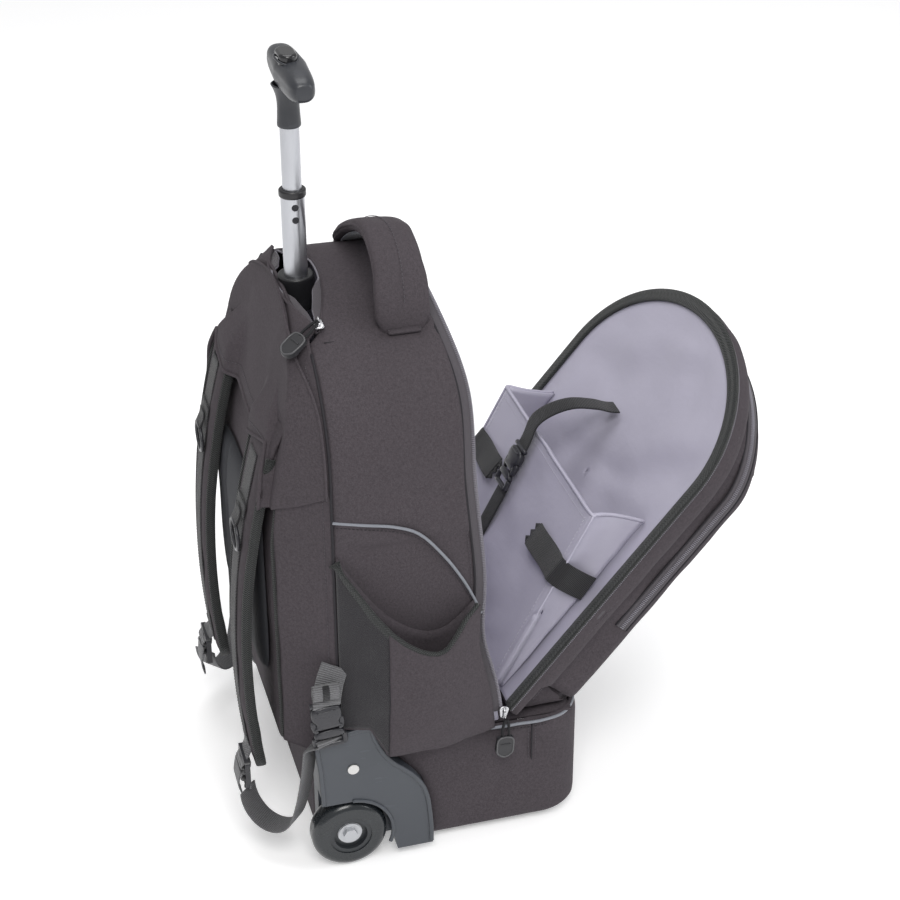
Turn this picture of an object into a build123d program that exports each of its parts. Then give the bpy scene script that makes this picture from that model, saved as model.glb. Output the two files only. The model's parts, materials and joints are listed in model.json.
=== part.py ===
"""Wheeled laptop backpack with a telescopic handle, front panel open.

Frame: +Z up, +X to the wearer's right, -Y towards the front panel, +Y towards the
wearer's back. The origin is in the middle of the base plate's resting face.
"Left" pieces are at -X and "right" pieces at +X. All sizes are in millimetres.
"""

import os
from math import cos, radians, sin, tan

from build123d import *

os.makedirs("parts", exist_ok=True)

# Bag body: a tombstone outline, extruded from the front mouth to the back seam
BAG_HALF = 155.0
SPRING_Z = 395.0
TOP_Z = 512.0
BODY_Z = 118.3
SEAM_Y = 100.0
WALL = 4.0
GAP = 0.3

# Rear compartment, tapering from the back seam to the back panel
BACK_Y = 147.0
BACK_HALF = 122.0
BACK_BASE_Z = 124.0
BACK_SPRING_Z = 372.0
BACK_TOP_Z = 474.0
REAR_WALL = 3.5

# Boot, the stiff foot of the bag
BOOT_HALF = 150.0
BOOT_FRONT_Y = -125.0
BOOT_BACK_Y = 118.0
BOOT_BOTTOM_Z = 4.5
BOOT_TOP_Z = 118.0
BOOT_CORNER = 32.0

# Front panel, hinged at the boot: it leans back when shut and forward at rest
HINGE_Y = -47.0
HINGE_Z = 131.0
MOUTH_LEAN = 6.0
FLAP_LEAN = 40.0
FLAP_HALF = 152.0
FLAP_START = 8.0
FLAP_SPRING = 263.0
FLAP_TOP = 375.0
FLAP_FACE = 3.0
FLAP_THICK = 7.0
POCKET_HALF = 140.0
POCKET_START = 42.0
POCKET_TOP = 357.0
POCKET_DEPTH = 62.0

# Laptop sleeve on the inside of the front panel, wider at its mouth
SLEEVE_HALF = 125.0
SLEEVE_START = 10.0
SLEEVE_MOUTH = 190.0
SLEEVE_BACK = 210.0
SLEEVE_FOOT_DEPTH = 7.0
SLEEVE_MOUTH_DEPTH = 45.0
SLEEVE_WALL = 2.5

# Telescopic handle
TUBE_Y = 90.0
OUTER_R = 13.0
OUTER_BORE = 11.3
OUTER_FOOT_Z = 14.0
OUTER_TOP_Z = 492.0
FERRULE_R = 15.5
FERRULE_TOP_Z = 509.0
MID_R = 10.0
MID_BORE = 8.8
MID_FOOT_Z = 283.0
MID_TOP_Z = 578.0
TOP_R = 8.0
TOP_BORE = 6.8
TOP_FOOT_Z = 360.0
TOP_END_Z = 646.0
NECK_Z = 640.0
GRIP_Z = 668.0
GRIP_SPLIT_Z = 684.0
GRIP_TOP_Z = 697.0
GRIP_LENGTH = 112.0
GRIP_WIDTH = 34.0
BUTTON_TOP_Z = 701.0
ROD_R = 3.0
RUNNING = 0.06

# Wheels
AXLE_Y = 95.0
AXLE_Z = 34.0
WHEEL_R = 34.0
WHEEL_IN_X = 138.0
WHEEL_OUT_X = 162.0
HUB_R = 19.0
BEARING_R = 11.0
BEARING_LONG = 7.0
AXLE_R = 4.0
ARCH_R = 37.5

# Wheel housings
HOUSING_OUT_X = 161.0
HOUSING_SIDE_X = 155.4
HOUSING_CHEEK_X = 135.5
HOUSING_IN_X = 119.0
HOUSING_WALL = 4.0
HOUSING_FOOT_Z = 9.0
RIVET_Y = 91.0
RIVET_Z = 108.0

# Slot in the top for the handle: a lens between two arcs
SLOT_HALF = 85.0
SLOT_WIDE = 18.0
SLOT_Y = 91.0

# Carry handle, pivoting where its rounded feet meet the top
CARRY_Y = 22.0
CARRY_Z = 520.0
CARRY_HALF_WIDE = 25.0
CARRY_FOOT_X = 92.0
CARRY_TOP_Z = 558.0
CARRY_THICK = 13.0

# Shoulder straps
STRAP_X = 87.0
STRAP_WIDE = 62.0
STRAP_THICK = 12.0
STRAP_TOP_Z = 430.0
WEBBING_THICK = 1.6
WEBBING_WIDE = 24.0

# Bottle pockets
POUCH_BACK_Y = 98.0
POUCH_FRONT_Y = -38.0
POUCH_X = 155.6
POUCH_BULGE = 27.4
POUCH_WALL = 2.5
POUCH_FLOOR_Z = 126.0

SIDES = {"left": -1, "right": 1}
MOUTH_PLANE = Plane(
    origin=(0, HINGE_Y, HINGE_Z),
    x_dir=(1, 0, 0),
    z_dir=(0, -cos(radians(MOUTH_LEAN)), sin(radians(MOUTH_LEAN))),
)
FLAP_PLANE = Plane(
    origin=(0, HINGE_Y, HINGE_Z),
    x_dir=(1, 0, 0),
    z_dir=(0, -cos(radians(FLAP_LEAN)), -sin(radians(FLAP_LEAN))),
)


def save(piece, name):
    """Label a finished piece and write its STEP file."""
    piece.part.label = name
    export_step(piece.part, f"parts/{name}.step")


def cross_plane(y):
    """Plane across the bag at depth y: sketch x is X, sketch y is Z, normal -Y."""
    return Plane.XZ.offset(-y)


def side_plane(x):
    """Plane along the bag at width x: sketch x is Y, sketch y is Z, normal +X."""
    return Plane.YZ.offset(x)


def arch_face(half, base, spring, top, mode=Mode.ADD):
    """Tombstone: straight sides up to the spring line, then half an ellipse."""
    with BuildLine() as outline:
        Polyline((half, spring), (half, base), (-half, base), (-half, spring))
        EllipticalCenterArc((0, spring), half, top - spring, start_angle=0, arc_size=180)
    make_face(outline.edges(), mode=mode)


def flap_point(up, out):
    """World (y, z) of a point on the open front panel: up it, and out of its face."""
    lean = radians(FLAP_LEAN)
    y = HINGE_Y - up * sin(lean) - out * cos(lean)
    z = HINGE_Z + up * cos(lean) - out * sin(lean)
    return (y, z)


def lens_prism():
    """Cut the handle's lens-shaped slot straight down through the top."""
    with BuildSketch(Plane.XY.offset(SPRING_Z)) as lens:
        with BuildLine():
            ThreePointArc((-SLOT_HALF, SLOT_Y), (0, SLOT_Y - SLOT_WIDE), (SLOT_HALF, SLOT_Y))
            ThreePointArc((SLOT_HALF, SLOT_Y), (0, SLOT_Y + SLOT_WIDE), (-SLOT_HALF, SLOT_Y))
        make_face()
    extrude(lens.sketch, amount=TOP_Z - SPRING_Z + 10, mode=Mode.SUBTRACT)


def tube_hole(low, high, radius):
    """Cut a vertical hole round the handle's axis."""
    with BuildSketch(Plane.XY.offset(low)) as hole:
        with Locations((0, TUBE_Y)):
            Circle(radius)
    extrude(hole.sketch, amount=high - low, mode=Mode.SUBTRACT)


# --- Main compartment ---------------------------------------------------------


def make_main_gusset():
    """Sides and arched top of the main compartment, in one padded band."""
    with BuildPart() as gusset:
        with BuildSketch(cross_plane(SEAM_Y)):
            arch_face(BAG_HALF, BODY_Z, SPRING_Z, TOP_Z)
            arch_face(BAG_HALF - WALL, BODY_Z - 10, SPRING_Z, TOP_Z - WALL, Mode.SUBTRACT)
        extrude(amount=SEAM_Y - HINGE_Y + 30)
        split(bisect_by=MOUTH_PLANE, keep=Keep.BOTTOM)
        lens_prism()
    save(gusset, "main_gusset")


def make_frame_sheet():
    """Stiff sheet between the main compartment and the handle's space."""
    with BuildPart() as sheet:
        with BuildSketch(cross_plane(66)):
            arch_face(BAG_HALF - WALL - 0.7, BOOT_TOP_Z + 6, SPRING_Z, TOP_Z - WALL - 1)
        extrude(amount=4)
    save(sheet, "frame_sheet")


def make_base_board():
    """Stiff floor board of the main compartment, notched round the handle's tube."""
    half = BAG_HALF - WALL - 0.7
    front = HINGE_Y + 3
    with BuildPart() as board:
        with BuildSketch(Plane.XY.offset(BOOT_TOP_Z + 1)):
            with Locations((0, (front + SEAM_Y - 0.5) / 2)):
                Rectangle(2 * half, SEAM_Y - 0.5 - front)
        extrude(amount=4)
        tube_hole(BOOT_TOP_Z, BOOT_TOP_Z + 10, OUTER_R + GAP)
    save(board, "base_board")


def make_zip_tracks():
    """Zip tapes: one round the mouth of the bag and one round the front panel."""
    lean = cos(radians(MOUTH_LEAN))
    spring = (SPRING_Z - HINGE_Z) / lean
    top = (TOP_Z - HINGE_Z) / lean
    tape = 12.0
    with BuildPart() as body_zip:
        with BuildSketch(MOUTH_PLANE.offset(GAP)):
            arch_face(BAG_HALF, 0, spring, top)
            arch_face(BAG_HALF - tape, -5, spring, top - tape, Mode.SUBTRACT)
        extrude(amount=1.2)
    save(body_zip, "zip_tape_body")
    with BuildPart() as flap_zip:
        with BuildSketch(FLAP_PLANE.offset(FLAP_FACE - 1.3)):
            arch_face(FLAP_HALF, FLAP_START, FLAP_SPRING, FLAP_TOP)
            arch_face(FLAP_HALF - tape, 0, FLAP_SPRING, FLAP_TOP - tape, Mode.SUBTRACT)
        extrude(amount=1.2)
    save(flap_zip, "zip_tape_flap")


# --- Rear compartment ---------------------------------------------------------


def rear_face(y, grow):
    """Outline of the rear compartment at depth y, grown outward by grow."""
    share = (y - SEAM_Y) / (BACK_Y - SEAM_Y)
    half = BAG_HALF + share * (BACK_HALF - BAG_HALF) + grow
    base = BODY_Z + share * (BACK_BASE_Z - BODY_Z) - grow
    spring = SPRING_Z + share * (BACK_SPRING_Z - SPRING_Z)
    top = TOP_Z + share * (BACK_TOP_Z - TOP_Z) + grow
    with BuildSketch(cross_plane(y)) as outline:
        arch_face(half, base, spring, top)
    return outline.sketch


def make_rear_shell():
    """Tapering gusset and back panel of the compartment that holds the handle."""
    with BuildPart() as shell:
        loft([rear_face(SEAM_Y + GAP, 0), rear_face(BACK_Y, 0)])
        inner = [rear_face(SEAM_Y, -REAR_WALL), rear_face(BACK_Y - REAR_WALL, -REAR_WALL)]
        loft(inner, mode=Mode.SUBTRACT)
        lens_prism()
        tube_hole(BODY_Z - 5, BODY_Z + 10, OUTER_R + GAP)
    save(shell, "rear_shell")


def make_yoke():
    """Padded yoke over the top of the back, where the shoulder straps are sewn."""
    thick = 4.0
    front = 112.0
    low = 400.0
    with BuildPart() as yoke:
        outer = [rear_face(SEAM_Y + 1, 0.6 + thick), rear_face(BACK_Y + 0.4 + thick, 0.6 + thick)]
        loft(outer)
        loft([rear_face(SEAM_Y, 0.6), rear_face(BACK_Y + 0.4, 0.6)], mode=Mode.SUBTRACT)
        split(bisect_by=Plane.XY.offset(low), keep=Keep.TOP)
        split(bisect_by=cross_plane(front), keep=Keep.BOTTOM)
    save(yoke, "yoke")


def make_back_pad():
    """Smooth pad on the back panel, between the shoulder straps."""
    with BuildPart() as pad:
        with BuildSketch(cross_plane(BACK_Y + GAP)):
            with Locations((0, 276)):
                RectangleRounded(200, 222, 18)
        extrude(amount=-8.5)
    save(pad, "back_pad")


# --- Boot and base ------------------------------------------------------------


def housing_face(with_arch, high):
    """Side outline of a wheel housing, up to height high, with or without its arch."""
    with BuildLine() as outline:
        Line((118, 71.5), (121, 144))
        Line((121, 144), (75, 150))
        ThreePointArc((75, 150), (62.3, 116.8), (46, 99))
        ThreePointArc((46, 99), (27.6, 75.6), (21.5, 50))
        Line((21.5, 50), (20, HOUSING_FOOT_Z))
        if with_arch:
            Line((20, HOUSING_FOOT_Z), (52.4, HOUSING_FOOT_Z))
            Line((52.4, HOUSING_FOOT_Z), (AXLE_Y - ARCH_R, AXLE_Z))
            RadiusArc((AXLE_Y - ARCH_R, AXLE_Z), (AXLE_Y, AXLE_Z + ARCH_R), ARCH_R)
            Line((AXLE_Y, AXLE_Z + ARCH_R), (118, 71.5))
        else:
            Line((20, HOUSING_FOOT_Z), (118, HOUSING_FOOT_Z))
            Line((118, HOUSING_FOOT_Z), (118, 71.5))
    make_face(outline.edges())
    with Locations((70, high + 100)):
        Rectangle(160, 200, mode=Mode.SUBTRACT)


def make_boot():
    """Closed fabric foot of the bag, cut away at its back corners for the housings."""
    length = BOOT_BACK_Y - BOOT_FRONT_Y
    middle = (BOOT_BACK_Y + BOOT_FRONT_Y) / 2
    with BuildPart() as boot:
        with BuildSketch(Plane.XY.offset(BOOT_BOTTOM_Z)):
            with Locations((0, middle)):
                RectangleRounded(2 * BOOT_HALF, length, BOOT_CORNER)
        extrude(amount=BOOT_TOP_Z - BOOT_BOTTOM_Z)
        fillet(boot.faces().sort_by(Axis.Z)[0].edges(), 14)
        with BuildSketch(Plane.XY.offset(BOOT_BOTTOM_Z + WALL)):
            with Locations((0, middle)):
                RectangleRounded(2 * (BOOT_HALF - WALL), length - 2 * WALL, BOOT_CORNER - WALL)
        extrude(amount=BOOT_TOP_Z - BOOT_BOTTOM_Z - 2 * WALL, mode=Mode.SUBTRACT)
        tube_hole(BOOT_TOP_Z - 10, BOOT_TOP_Z + 5, OUTER_R + GAP)
        for sign in SIDES.values():
            with BuildSketch(side_plane(sign * (HOUSING_IN_X - 0.5))):
                housing_face(False, BOOT_TOP_Z)
                offset(amount=0.4)
            extrude(amount=sign * 60, mode=Mode.SUBTRACT)
            wheel_ring(sign, HOUSING_CHEEK_X, BOOT_HALF + 5, ARCH_R, mode=Mode.SUBTRACT)
    save(boot, "boot")


def make_base_plate():
    """Moulded plate under the boot, on which the bag stands."""
    with BuildPart() as plate:
        with BuildSketch(Plane.XY):
            with Locations((0, -30)):
                RectangleRounded(216, 158, 24)
        extrude(amount=BOOT_BOTTOM_Z - 0.1)
        fillet(plate.faces().sort_by(Axis.Z)[0].edges(), 1.5)
    save(plate, "base_plate")


def make_housing(side, sign):
    """Wheel housing: an outer plate, a hollow rim body and a cheek for the axle."""
    with BuildPart() as housing:
        with BuildSketch(side_plane(sign * HOUSING_SIDE_X)):
            housing_face(True, 160)
        extrude(amount=sign * (HOUSING_OUT_X - HOUSING_SIDE_X))
        with BuildSketch(side_plane(sign * HOUSING_SIDE_X)):
            housing_face(True, BOOT_TOP_Z - 0.5)
        extrude(amount=-sign * (HOUSING_SIDE_X - HOUSING_CHEEK_X))
        with BuildSketch(side_plane(sign * HOUSING_CHEEK_X)):
            housing_face(False, BOOT_TOP_Z - 0.5)
        extrude(amount=-sign * (HOUSING_CHEEK_X - HOUSING_IN_X))
        with BuildSketch(side_plane(sign * HOUSING_IN_X)):
            housing_face(True, BOOT_TOP_Z - 0.5)
            offset(amount=-HOUSING_WALL)
        extrude(amount=sign * (HOUSING_SIDE_X - HOUSING_IN_X - 2), mode=Mode.SUBTRACT)
        wheel_ring(sign, HOUSING_CHEEK_X - 1, WHEEL_IN_X + 0.8, 7)
        wheel_ring(sign, HOUSING_IN_X, WHEEL_IN_X + 1, AXLE_R + 0.01, mode=Mode.SUBTRACT)
        with BuildSketch(side_plane(sign * (HOUSING_IN_X + 20))):
            with Locations((RIVET_Y, RIVET_Z)):
                Circle(2.6)
        extrude(amount=sign * 40, mode=Mode.SUBTRACT)
    save(housing, f"wheel_housing_{side}")


def make_rivets():
    """One domed rivet through the outer plate of each housing."""
    with BuildPart() as rivets:
        for sign in SIDES.values():
            with BuildSketch(side_plane(sign * HOUSING_OUT_X)):
                with Locations((RIVET_Y, RIVET_Z)):
                    Circle(5)
            extrude(amount=sign * 1.4)
            with BuildSketch(side_plane(sign * HOUSING_OUT_X)):
                with Locations((RIVET_Y, RIVET_Z)):
                    Circle(2.5)
            extrude(amount=-sign * 7)
    save(rivets, "housing_rivets")


# --- Wheels -------------------------------------------------------------------


def wheel_ring(sign, low, high, outer, inner=0.0, mode=Mode.ADD):
    """Ring or disc about the axle, from width low to width high."""
    with BuildSketch(side_plane(sign * low)) as ring:
        with Locations((AXLE_Y, AXLE_Z)):
            Circle(outer)
            if inner:
                Circle(inner, mode=Mode.SUBTRACT)
    extrude(ring.sketch, amount=sign * (high - low), mode=mode)


def make_wheel(side, sign):
    """Round-shouldered tyre on a dished hub with two ball bearings."""
    with BuildPart() as tyre:
        wheel_ring(sign, WHEEL_IN_X, WHEEL_OUT_X, WHEEL_R)
        fillet(tyre.edges().filter_by(GeomType.CIRCLE), 8)
        wheel_ring(sign, WHEEL_IN_X, WHEEL_OUT_X, HUB_R, mode=Mode.SUBTRACT)
    save(tyre, f"tyre_{side}")
    with BuildPart() as hub:
        wheel_ring(sign, WHEEL_IN_X + 1, WHEEL_OUT_X - 1, HUB_R - 0.02)
        wheel_ring(sign, WHEEL_OUT_X - 5, WHEEL_OUT_X, 15, mode=Mode.SUBTRACT)
        wheel_ring(sign, WHEEL_IN_X, WHEEL_OUT_X, BEARING_R + 0.02, mode=Mode.SUBTRACT)
        wheel_ring(sign, WHEEL_IN_X + 9, WHEEL_OUT_X - 13, BEARING_R + 0.02, 8)
    save(hub, f"hub_{side}")
    with BuildPart() as bearings:
        wheel_ring(sign, WHEEL_OUT_X - 12, WHEEL_OUT_X - 5, BEARING_R, AXLE_R + RUNNING)
        wheel_ring(sign, WHEEL_IN_X + 1, WHEEL_IN_X + 1 + BEARING_LONG, BEARING_R, AXLE_R + RUNNING)
    save(bearings, f"bearings_{side}")


def make_axles():
    """Flanged axle bolts, screwed into the housings' cheeks."""
    with BuildPart() as bolts:
        for sign in SIDES.values():
            wheel_ring(sign, HOUSING_IN_X + 2, WHEEL_OUT_X - 4, AXLE_R)
            wheel_ring(sign, WHEEL_OUT_X - 5, WHEEL_OUT_X - 4, 10.5)
            with BuildSketch(side_plane(sign * (WHEEL_OUT_X - 4))):
                with Locations((AXLE_Y, AXLE_Z)):
                    RegularPolygon(6.5, 6)
            extrude(amount=sign * 3.4)
    save(bolts, "axle_bolts")


# --- Telescopic handle --------------------------------------------------------


def column(low, high, outer, inner=0.0, mode=Mode.ADD):
    """Cylinder or tube on the handle's axis, from height low to height high."""
    with BuildSketch(Plane.XY.offset(low)) as ring:
        with Locations((0, TUBE_Y)):
            Circle(outer)
            if inner:
                Circle(inner, mode=Mode.SUBTRACT)
    extrude(ring.sketch, amount=high - low, mode=mode)


def make_outer_tube():
    """Fixed tube with its foot socket and the ferrule that guides the middle tube."""
    with BuildPart() as foot:
        with BuildSketch(Plane.XY.offset(BOOT_BOTTOM_Z + WALL + 0.1)):
            with Locations((0, TUBE_Y)):
                RectangleRounded(58, 40, 8)
        extrude(amount=26)
        column(OUTER_FOOT_Z, 60, OUTER_R + 0.03, mode=Mode.SUBTRACT)
    save(foot, "tube_foot")
    with BuildPart() as tube:
        column(OUTER_FOOT_Z, OUTER_TOP_Z, OUTER_R, OUTER_BORE)
    save(tube, "outer_tube")
    with BuildPart() as ferrule:
        column(OUTER_TOP_Z - 12, FERRULE_TOP_Z, FERRULE_R)
        fillet(ferrule.edges().filter_by(GeomType.CIRCLE).sort_by(Axis.Z)[-1], 2)
        column(OUTER_TOP_Z - 12, OUTER_TOP_Z, OUTER_R + 0.03, mode=Mode.SUBTRACT)
        column(OUTER_TOP_Z, FERRULE_TOP_Z, MID_R + RUNNING, mode=Mode.SUBTRACT)
    save(ferrule, "tube_ferrule")


def make_middle_tube():
    """Middle tube with its collar and the two flush screws that hold the collar."""
    screw_heights = (560.0, 571.0)
    with BuildPart() as tube:
        column(MID_FOOT_Z, MID_TOP_Z, MID_R, MID_BORE)
        for height in screw_heights:
            with BuildSketch(side_plane(-MID_R - 2)):
                with Locations((TUBE_Y, height)):
                    Circle(3.0)
            extrude(amount=MID_R, mode=Mode.SUBTRACT)
    save(tube, "middle_tube")
    with BuildPart() as collar:
        column(MID_TOP_Z, MID_TOP_Z + 7, 11.4)
        fillet(collar.edges().filter_by(GeomType.CIRCLE), 1.8)
        column(MID_TOP_Z - 26, MID_TOP_Z, MID_BORE - 0.05)
        column(MID_TOP_Z - 30, MID_TOP_Z + 10, TOP_R + RUNNING, mode=Mode.SUBTRACT)
    save(collar, "middle_collar")
    with BuildPart() as screws:
        for height in screw_heights:
            with BuildSketch(side_plane(-MID_R + 0.5)):
                with Locations((TUBE_Y, height)):
                    Circle(2.9)
            extrude(amount=1.5)
            with BuildSketch(side_plane(-MID_R + 0.5)):
                with Locations((TUBE_Y, height)):
                    Rectangle(4.4, 0.8, rotation=35)
            extrude(amount=0.4, mode=Mode.SUBTRACT)
        column(550, 580, MID_BORE + 0.02, mode=Mode.SUBTRACT)
    save(screws, "collar_screws")


def make_top_tube():
    """Top tube with the lock block that the push rod releases."""
    with BuildPart() as tube:
        column(TOP_FOOT_Z, TOP_END_Z, TOP_R, TOP_BORE)
    save(tube, "top_tube")
    with BuildPart() as block:
        column(TOP_FOOT_Z + 2, TOP_FOOT_Z + 26, TOP_BORE - 0.05)
        column(TOP_FOOT_Z + 10, TOP_FOOT_Z + 30, ROD_R + 0.1, mode=Mode.SUBTRACT)
    save(block, "lock_block")


def grip_block(low, high, edge_z):
    """Half of the cross grip between two heights, rounded at height edge_z."""
    with BuildSketch(Plane.XY.offset(low)) as plan:
        with Locations((0, TUBE_Y - 3)):
            SlotOverall(GRIP_LENGTH, GRIP_WIDTH)
    grip = extrude(plan.sketch, amount=high - low)
    outline = [edge for edge in grip.edges() if abs(edge.center().Z - edge_z) < 0.1]
    fillet(outline, 11)


def make_grip():
    """Cross grip: a lower half with the neck, a cover, the sprung button and its rod."""
    with BuildPart() as base:
        grip_block(GRIP_Z, GRIP_SPLIT_Z, GRIP_Z)
        column(NECK_Z, GRIP_Z + 6, 9.4)
        column(GRIP_Z + 6, GRIP_SPLIT_Z, 7, mode=Mode.SUBTRACT)
        column(NECK_Z, TOP_END_Z, TOP_R + 0.02, mode=Mode.SUBTRACT)
        column(TOP_END_Z, GRIP_Z + 6, ROD_R + 0.3, mode=Mode.SUBTRACT)
    save(base, "grip_base")
    with BuildPart() as cover:
        grip_block(GRIP_SPLIT_Z + 0.1, GRIP_TOP_Z, GRIP_TOP_Z)
        with BuildSketch(Plane.XY.offset(GRIP_SPLIT_Z)):
            with Locations((0, TUBE_Y)):
                SlotOverall(28, 16)
        extrude(amount=20, mode=Mode.SUBTRACT)
    save(cover, "grip_cover")
    with BuildPart() as button:
        with BuildSketch(Plane.XY.offset(BUTTON_TOP_Z - 12)):
            with Locations((0, TUBE_Y)):
                SlotOverall(27.4, 15.4)
        extrude(amount=12)
        fillet(button.edges().group_by(Axis.Z)[-1], 2.5)
    save(button, "lock_button")
    with BuildPart() as rod:
        column(TOP_FOOT_Z + 16, BUTTON_TOP_Z - 12, ROD_R)
    save(rod, "push_rod")
    with BuildPart() as spring:
        with BuildLine():
            coil = Helix(pitch=2.6, height=13, radius=4.9, center=(0, TUBE_Y, GRIP_Z + 7))
        with BuildSketch(Plane(coil @ 0, z_dir=coil % 0)):
            Circle(0.6)
        sweep(path=coil, is_frenet=True)
    save(spring, "button_spring")


# --- Carry handle -------------------------------------------------------------


def make_carry_handle():
    """Padded loop across the top; its rounded feet turn about the pivot line."""
    foot_z = CARRY_Z - CARRY_HALF_WIDE
    with BuildPart() as loop:
        with BuildSketch(cross_plane(CARRY_Y + CARRY_HALF_WIDE)):
            with BuildLine() as line:
                FilletPolyline(
                    (-CARRY_FOOT_X, foot_z - 5),
                    (-CARRY_FOOT_X + 6, CARRY_TOP_Z),
                    (CARRY_FOOT_X - 6, CARRY_TOP_Z),
                    (CARRY_FOOT_X, foot_z - 5),
                    radius=34,
                )
            trace(line.wires(), line_width=CARRY_THICK)
        extrude(amount=2 * CARRY_HALF_WIDE)
        with BuildSketch(side_plane(-CARRY_FOOT_X - 20)):
            with Locations((CARRY_Y, CARRY_Z)):
                Circle(CARRY_HALF_WIDE)
            with Locations((CARRY_Y, CARRY_Z + 30)):
                Rectangle(2 * CARRY_HALF_WIDE, 60)
        extrude(amount=2 * CARRY_FOOT_X + 40, mode=Mode.INTERSECT)
    save(loop, "carry_handle")


# --- Shoulder straps ----------------------------------------------------------


def make_shoulder_strap(side, sign):
    """Curved padded strap, its ladder lock, and the webbing down to the buckle."""
    with BuildPart() as strap:
        with BuildSketch(side_plane(sign * STRAP_X - STRAP_WIDE / 2)):
            with BuildLine():
                ThreePointArc((152.3, STRAP_TOP_Z), (170, 262), (158, 84))
                Line((158, 84), (158 + STRAP_THICK, 84))
                ThreePointArc((158 + STRAP_THICK, 84), (170 + STRAP_THICK, 262), (164.3, STRAP_TOP_Z))
                Line((164.3, STRAP_TOP_Z), (152.3, STRAP_TOP_Z))
            make_face()
        extrude(amount=STRAP_WIDE)
        fillet(strap.edges().filter_by(Axis.Y).group_by(Axis.Z)[0], 22)
    save(strap, f"shoulder_strap_{side}")
    with BuildPart() as lock:
        with BuildSketch(cross_plane(178)):
            with Locations((sign * 98, 82)):
                RectangleRounded(34, 30, 4)
                with Locations((0, 8), (0, -1), (0, -9)):
                    Rectangle(26, 4.5, mode=Mode.SUBTRACT)
        extrude(amount=4.5)
    save(lock, f"ladder_lock_{side}")


def make_lower_webbing(side, sign):
    """Loose webbing from the ladder lock, down behind the wheel and up to the buckle."""
    run = Vector(sign * 52, -57, 0)
    plane = Plane(
        origin=(sign * 103, 183, 0),
        x_dir=run,
        z_dir=run.cross(Vector(0, 0, 1)),
    )
    with BuildPart() as webbing:
        with BuildSketch(plane):
            with BuildLine() as line:
                FilletPolyline(
                    (9, 66), (14, 48), (33, 33), (56, 42), (70, 92), (76, 134), radius=(20, 19, 16, 40)
                )
            trace(line.wires(), line_width=WEBBING_THICK)
        extrude(amount=WEBBING_WIDE / 2, both=True)
    save(webbing, f"lower_webbing_{side}")


def make_side_buckles():
    """Side-release buckles on the lower webbing: sockets on the bag, plugs on the web."""
    with BuildPart() as sockets:
        for sign in SIDES.values():
            with BuildSketch(side_plane(sign * 162)):
                with Locations((112, 172)):
                    RectangleRounded(30, 30, 5)
            extrude(amount=sign * 9)
            with BuildSketch(Plane.XY.offset(150)):
                with Locations((sign * 166.5, 112)):
                    Rectangle(5, 24)
            extrude(amount=24, mode=Mode.SUBTRACT)
    save(sockets, "buckle_sockets")
    with BuildPart() as plugs:
        for sign in SIDES.values():
            with BuildSketch(side_plane(sign * 164.3)):
                with Locations((112, 163)):
                    Rectangle(23.4, 20)
            extrude(amount=sign * 4.4)
            with BuildSketch(side_plane(sign * 162)):
                with Locations((112, 147)):
                    RectangleRounded(32, 14, 3)
            extrude(amount=sign * 9)
    save(plugs, "buckle_plugs")


# --- Bottle pockets -----------------------------------------------------------


def pouch_plan(sign, shrink, back_x):
    """Crescent plan of a bottle pocket between its curved cloth and width back_x."""
    middle = (POUCH_BACK_Y + POUCH_FRONT_Y) / 2
    front = POUCH_FRONT_Y + shrink
    back = POUCH_BACK_Y - shrink
    with BuildLine() as outline:
        Line((sign * POUCH_X, front), (sign * back_x, front))
        Line((sign * back_x, front), (sign * back_x, back))
        Line((sign * back_x, back), (sign * POUCH_X, back))
        ThreePointArc(
            (sign * POUCH_X, back),
            (sign * (POUCH_X + POUCH_BULGE - shrink), middle),
            (sign * POUCH_X, front),
        )
    make_face(outline.edges())


def make_bottle_pocket(side, sign):
    """Open cloth pocket on the side of the bag, its mouth dipping in the middle."""
    with BuildPart() as pouch:
        with BuildSketch(Plane.XY.offset(POUCH_FLOOR_Z)):
            pouch_plan(sign, 0, POUCH_X - 0.1)
        extrude(amount=200)
        with BuildSketch(Plane.XY.offset(POUCH_FLOOR_Z + POUCH_WALL)):
            pouch_plan(sign, POUCH_WALL, POUCH_X - 5)
        extrude(amount=210, mode=Mode.SUBTRACT)
        with BuildSketch(side_plane(sign * (POUCH_X - 10))):
            with BuildLine():
                Polyline((-60, 262), (-60, 400), (120, 400), (120, 330), (101, 324))
                ThreePointArc((101, 324), (59, 254), (20, 228))
                ThreePointArc((20, 228), (-10, 236), (-38, 262))
                Line((-38, 262), (-60, 262))
            make_face()
        extrude(amount=sign * 60, mode=Mode.SUBTRACT)
        with BuildSketch(side_plane(sign * (POUCH_X - 10))):
            housing_face(False, 160)
            offset(amount=0.5)
        extrude(amount=sign * 60, mode=Mode.SUBTRACT)
    save(pouch, f"bottle_pocket_{side}")


# --- Front panel --------------------------------------------------------------


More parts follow.
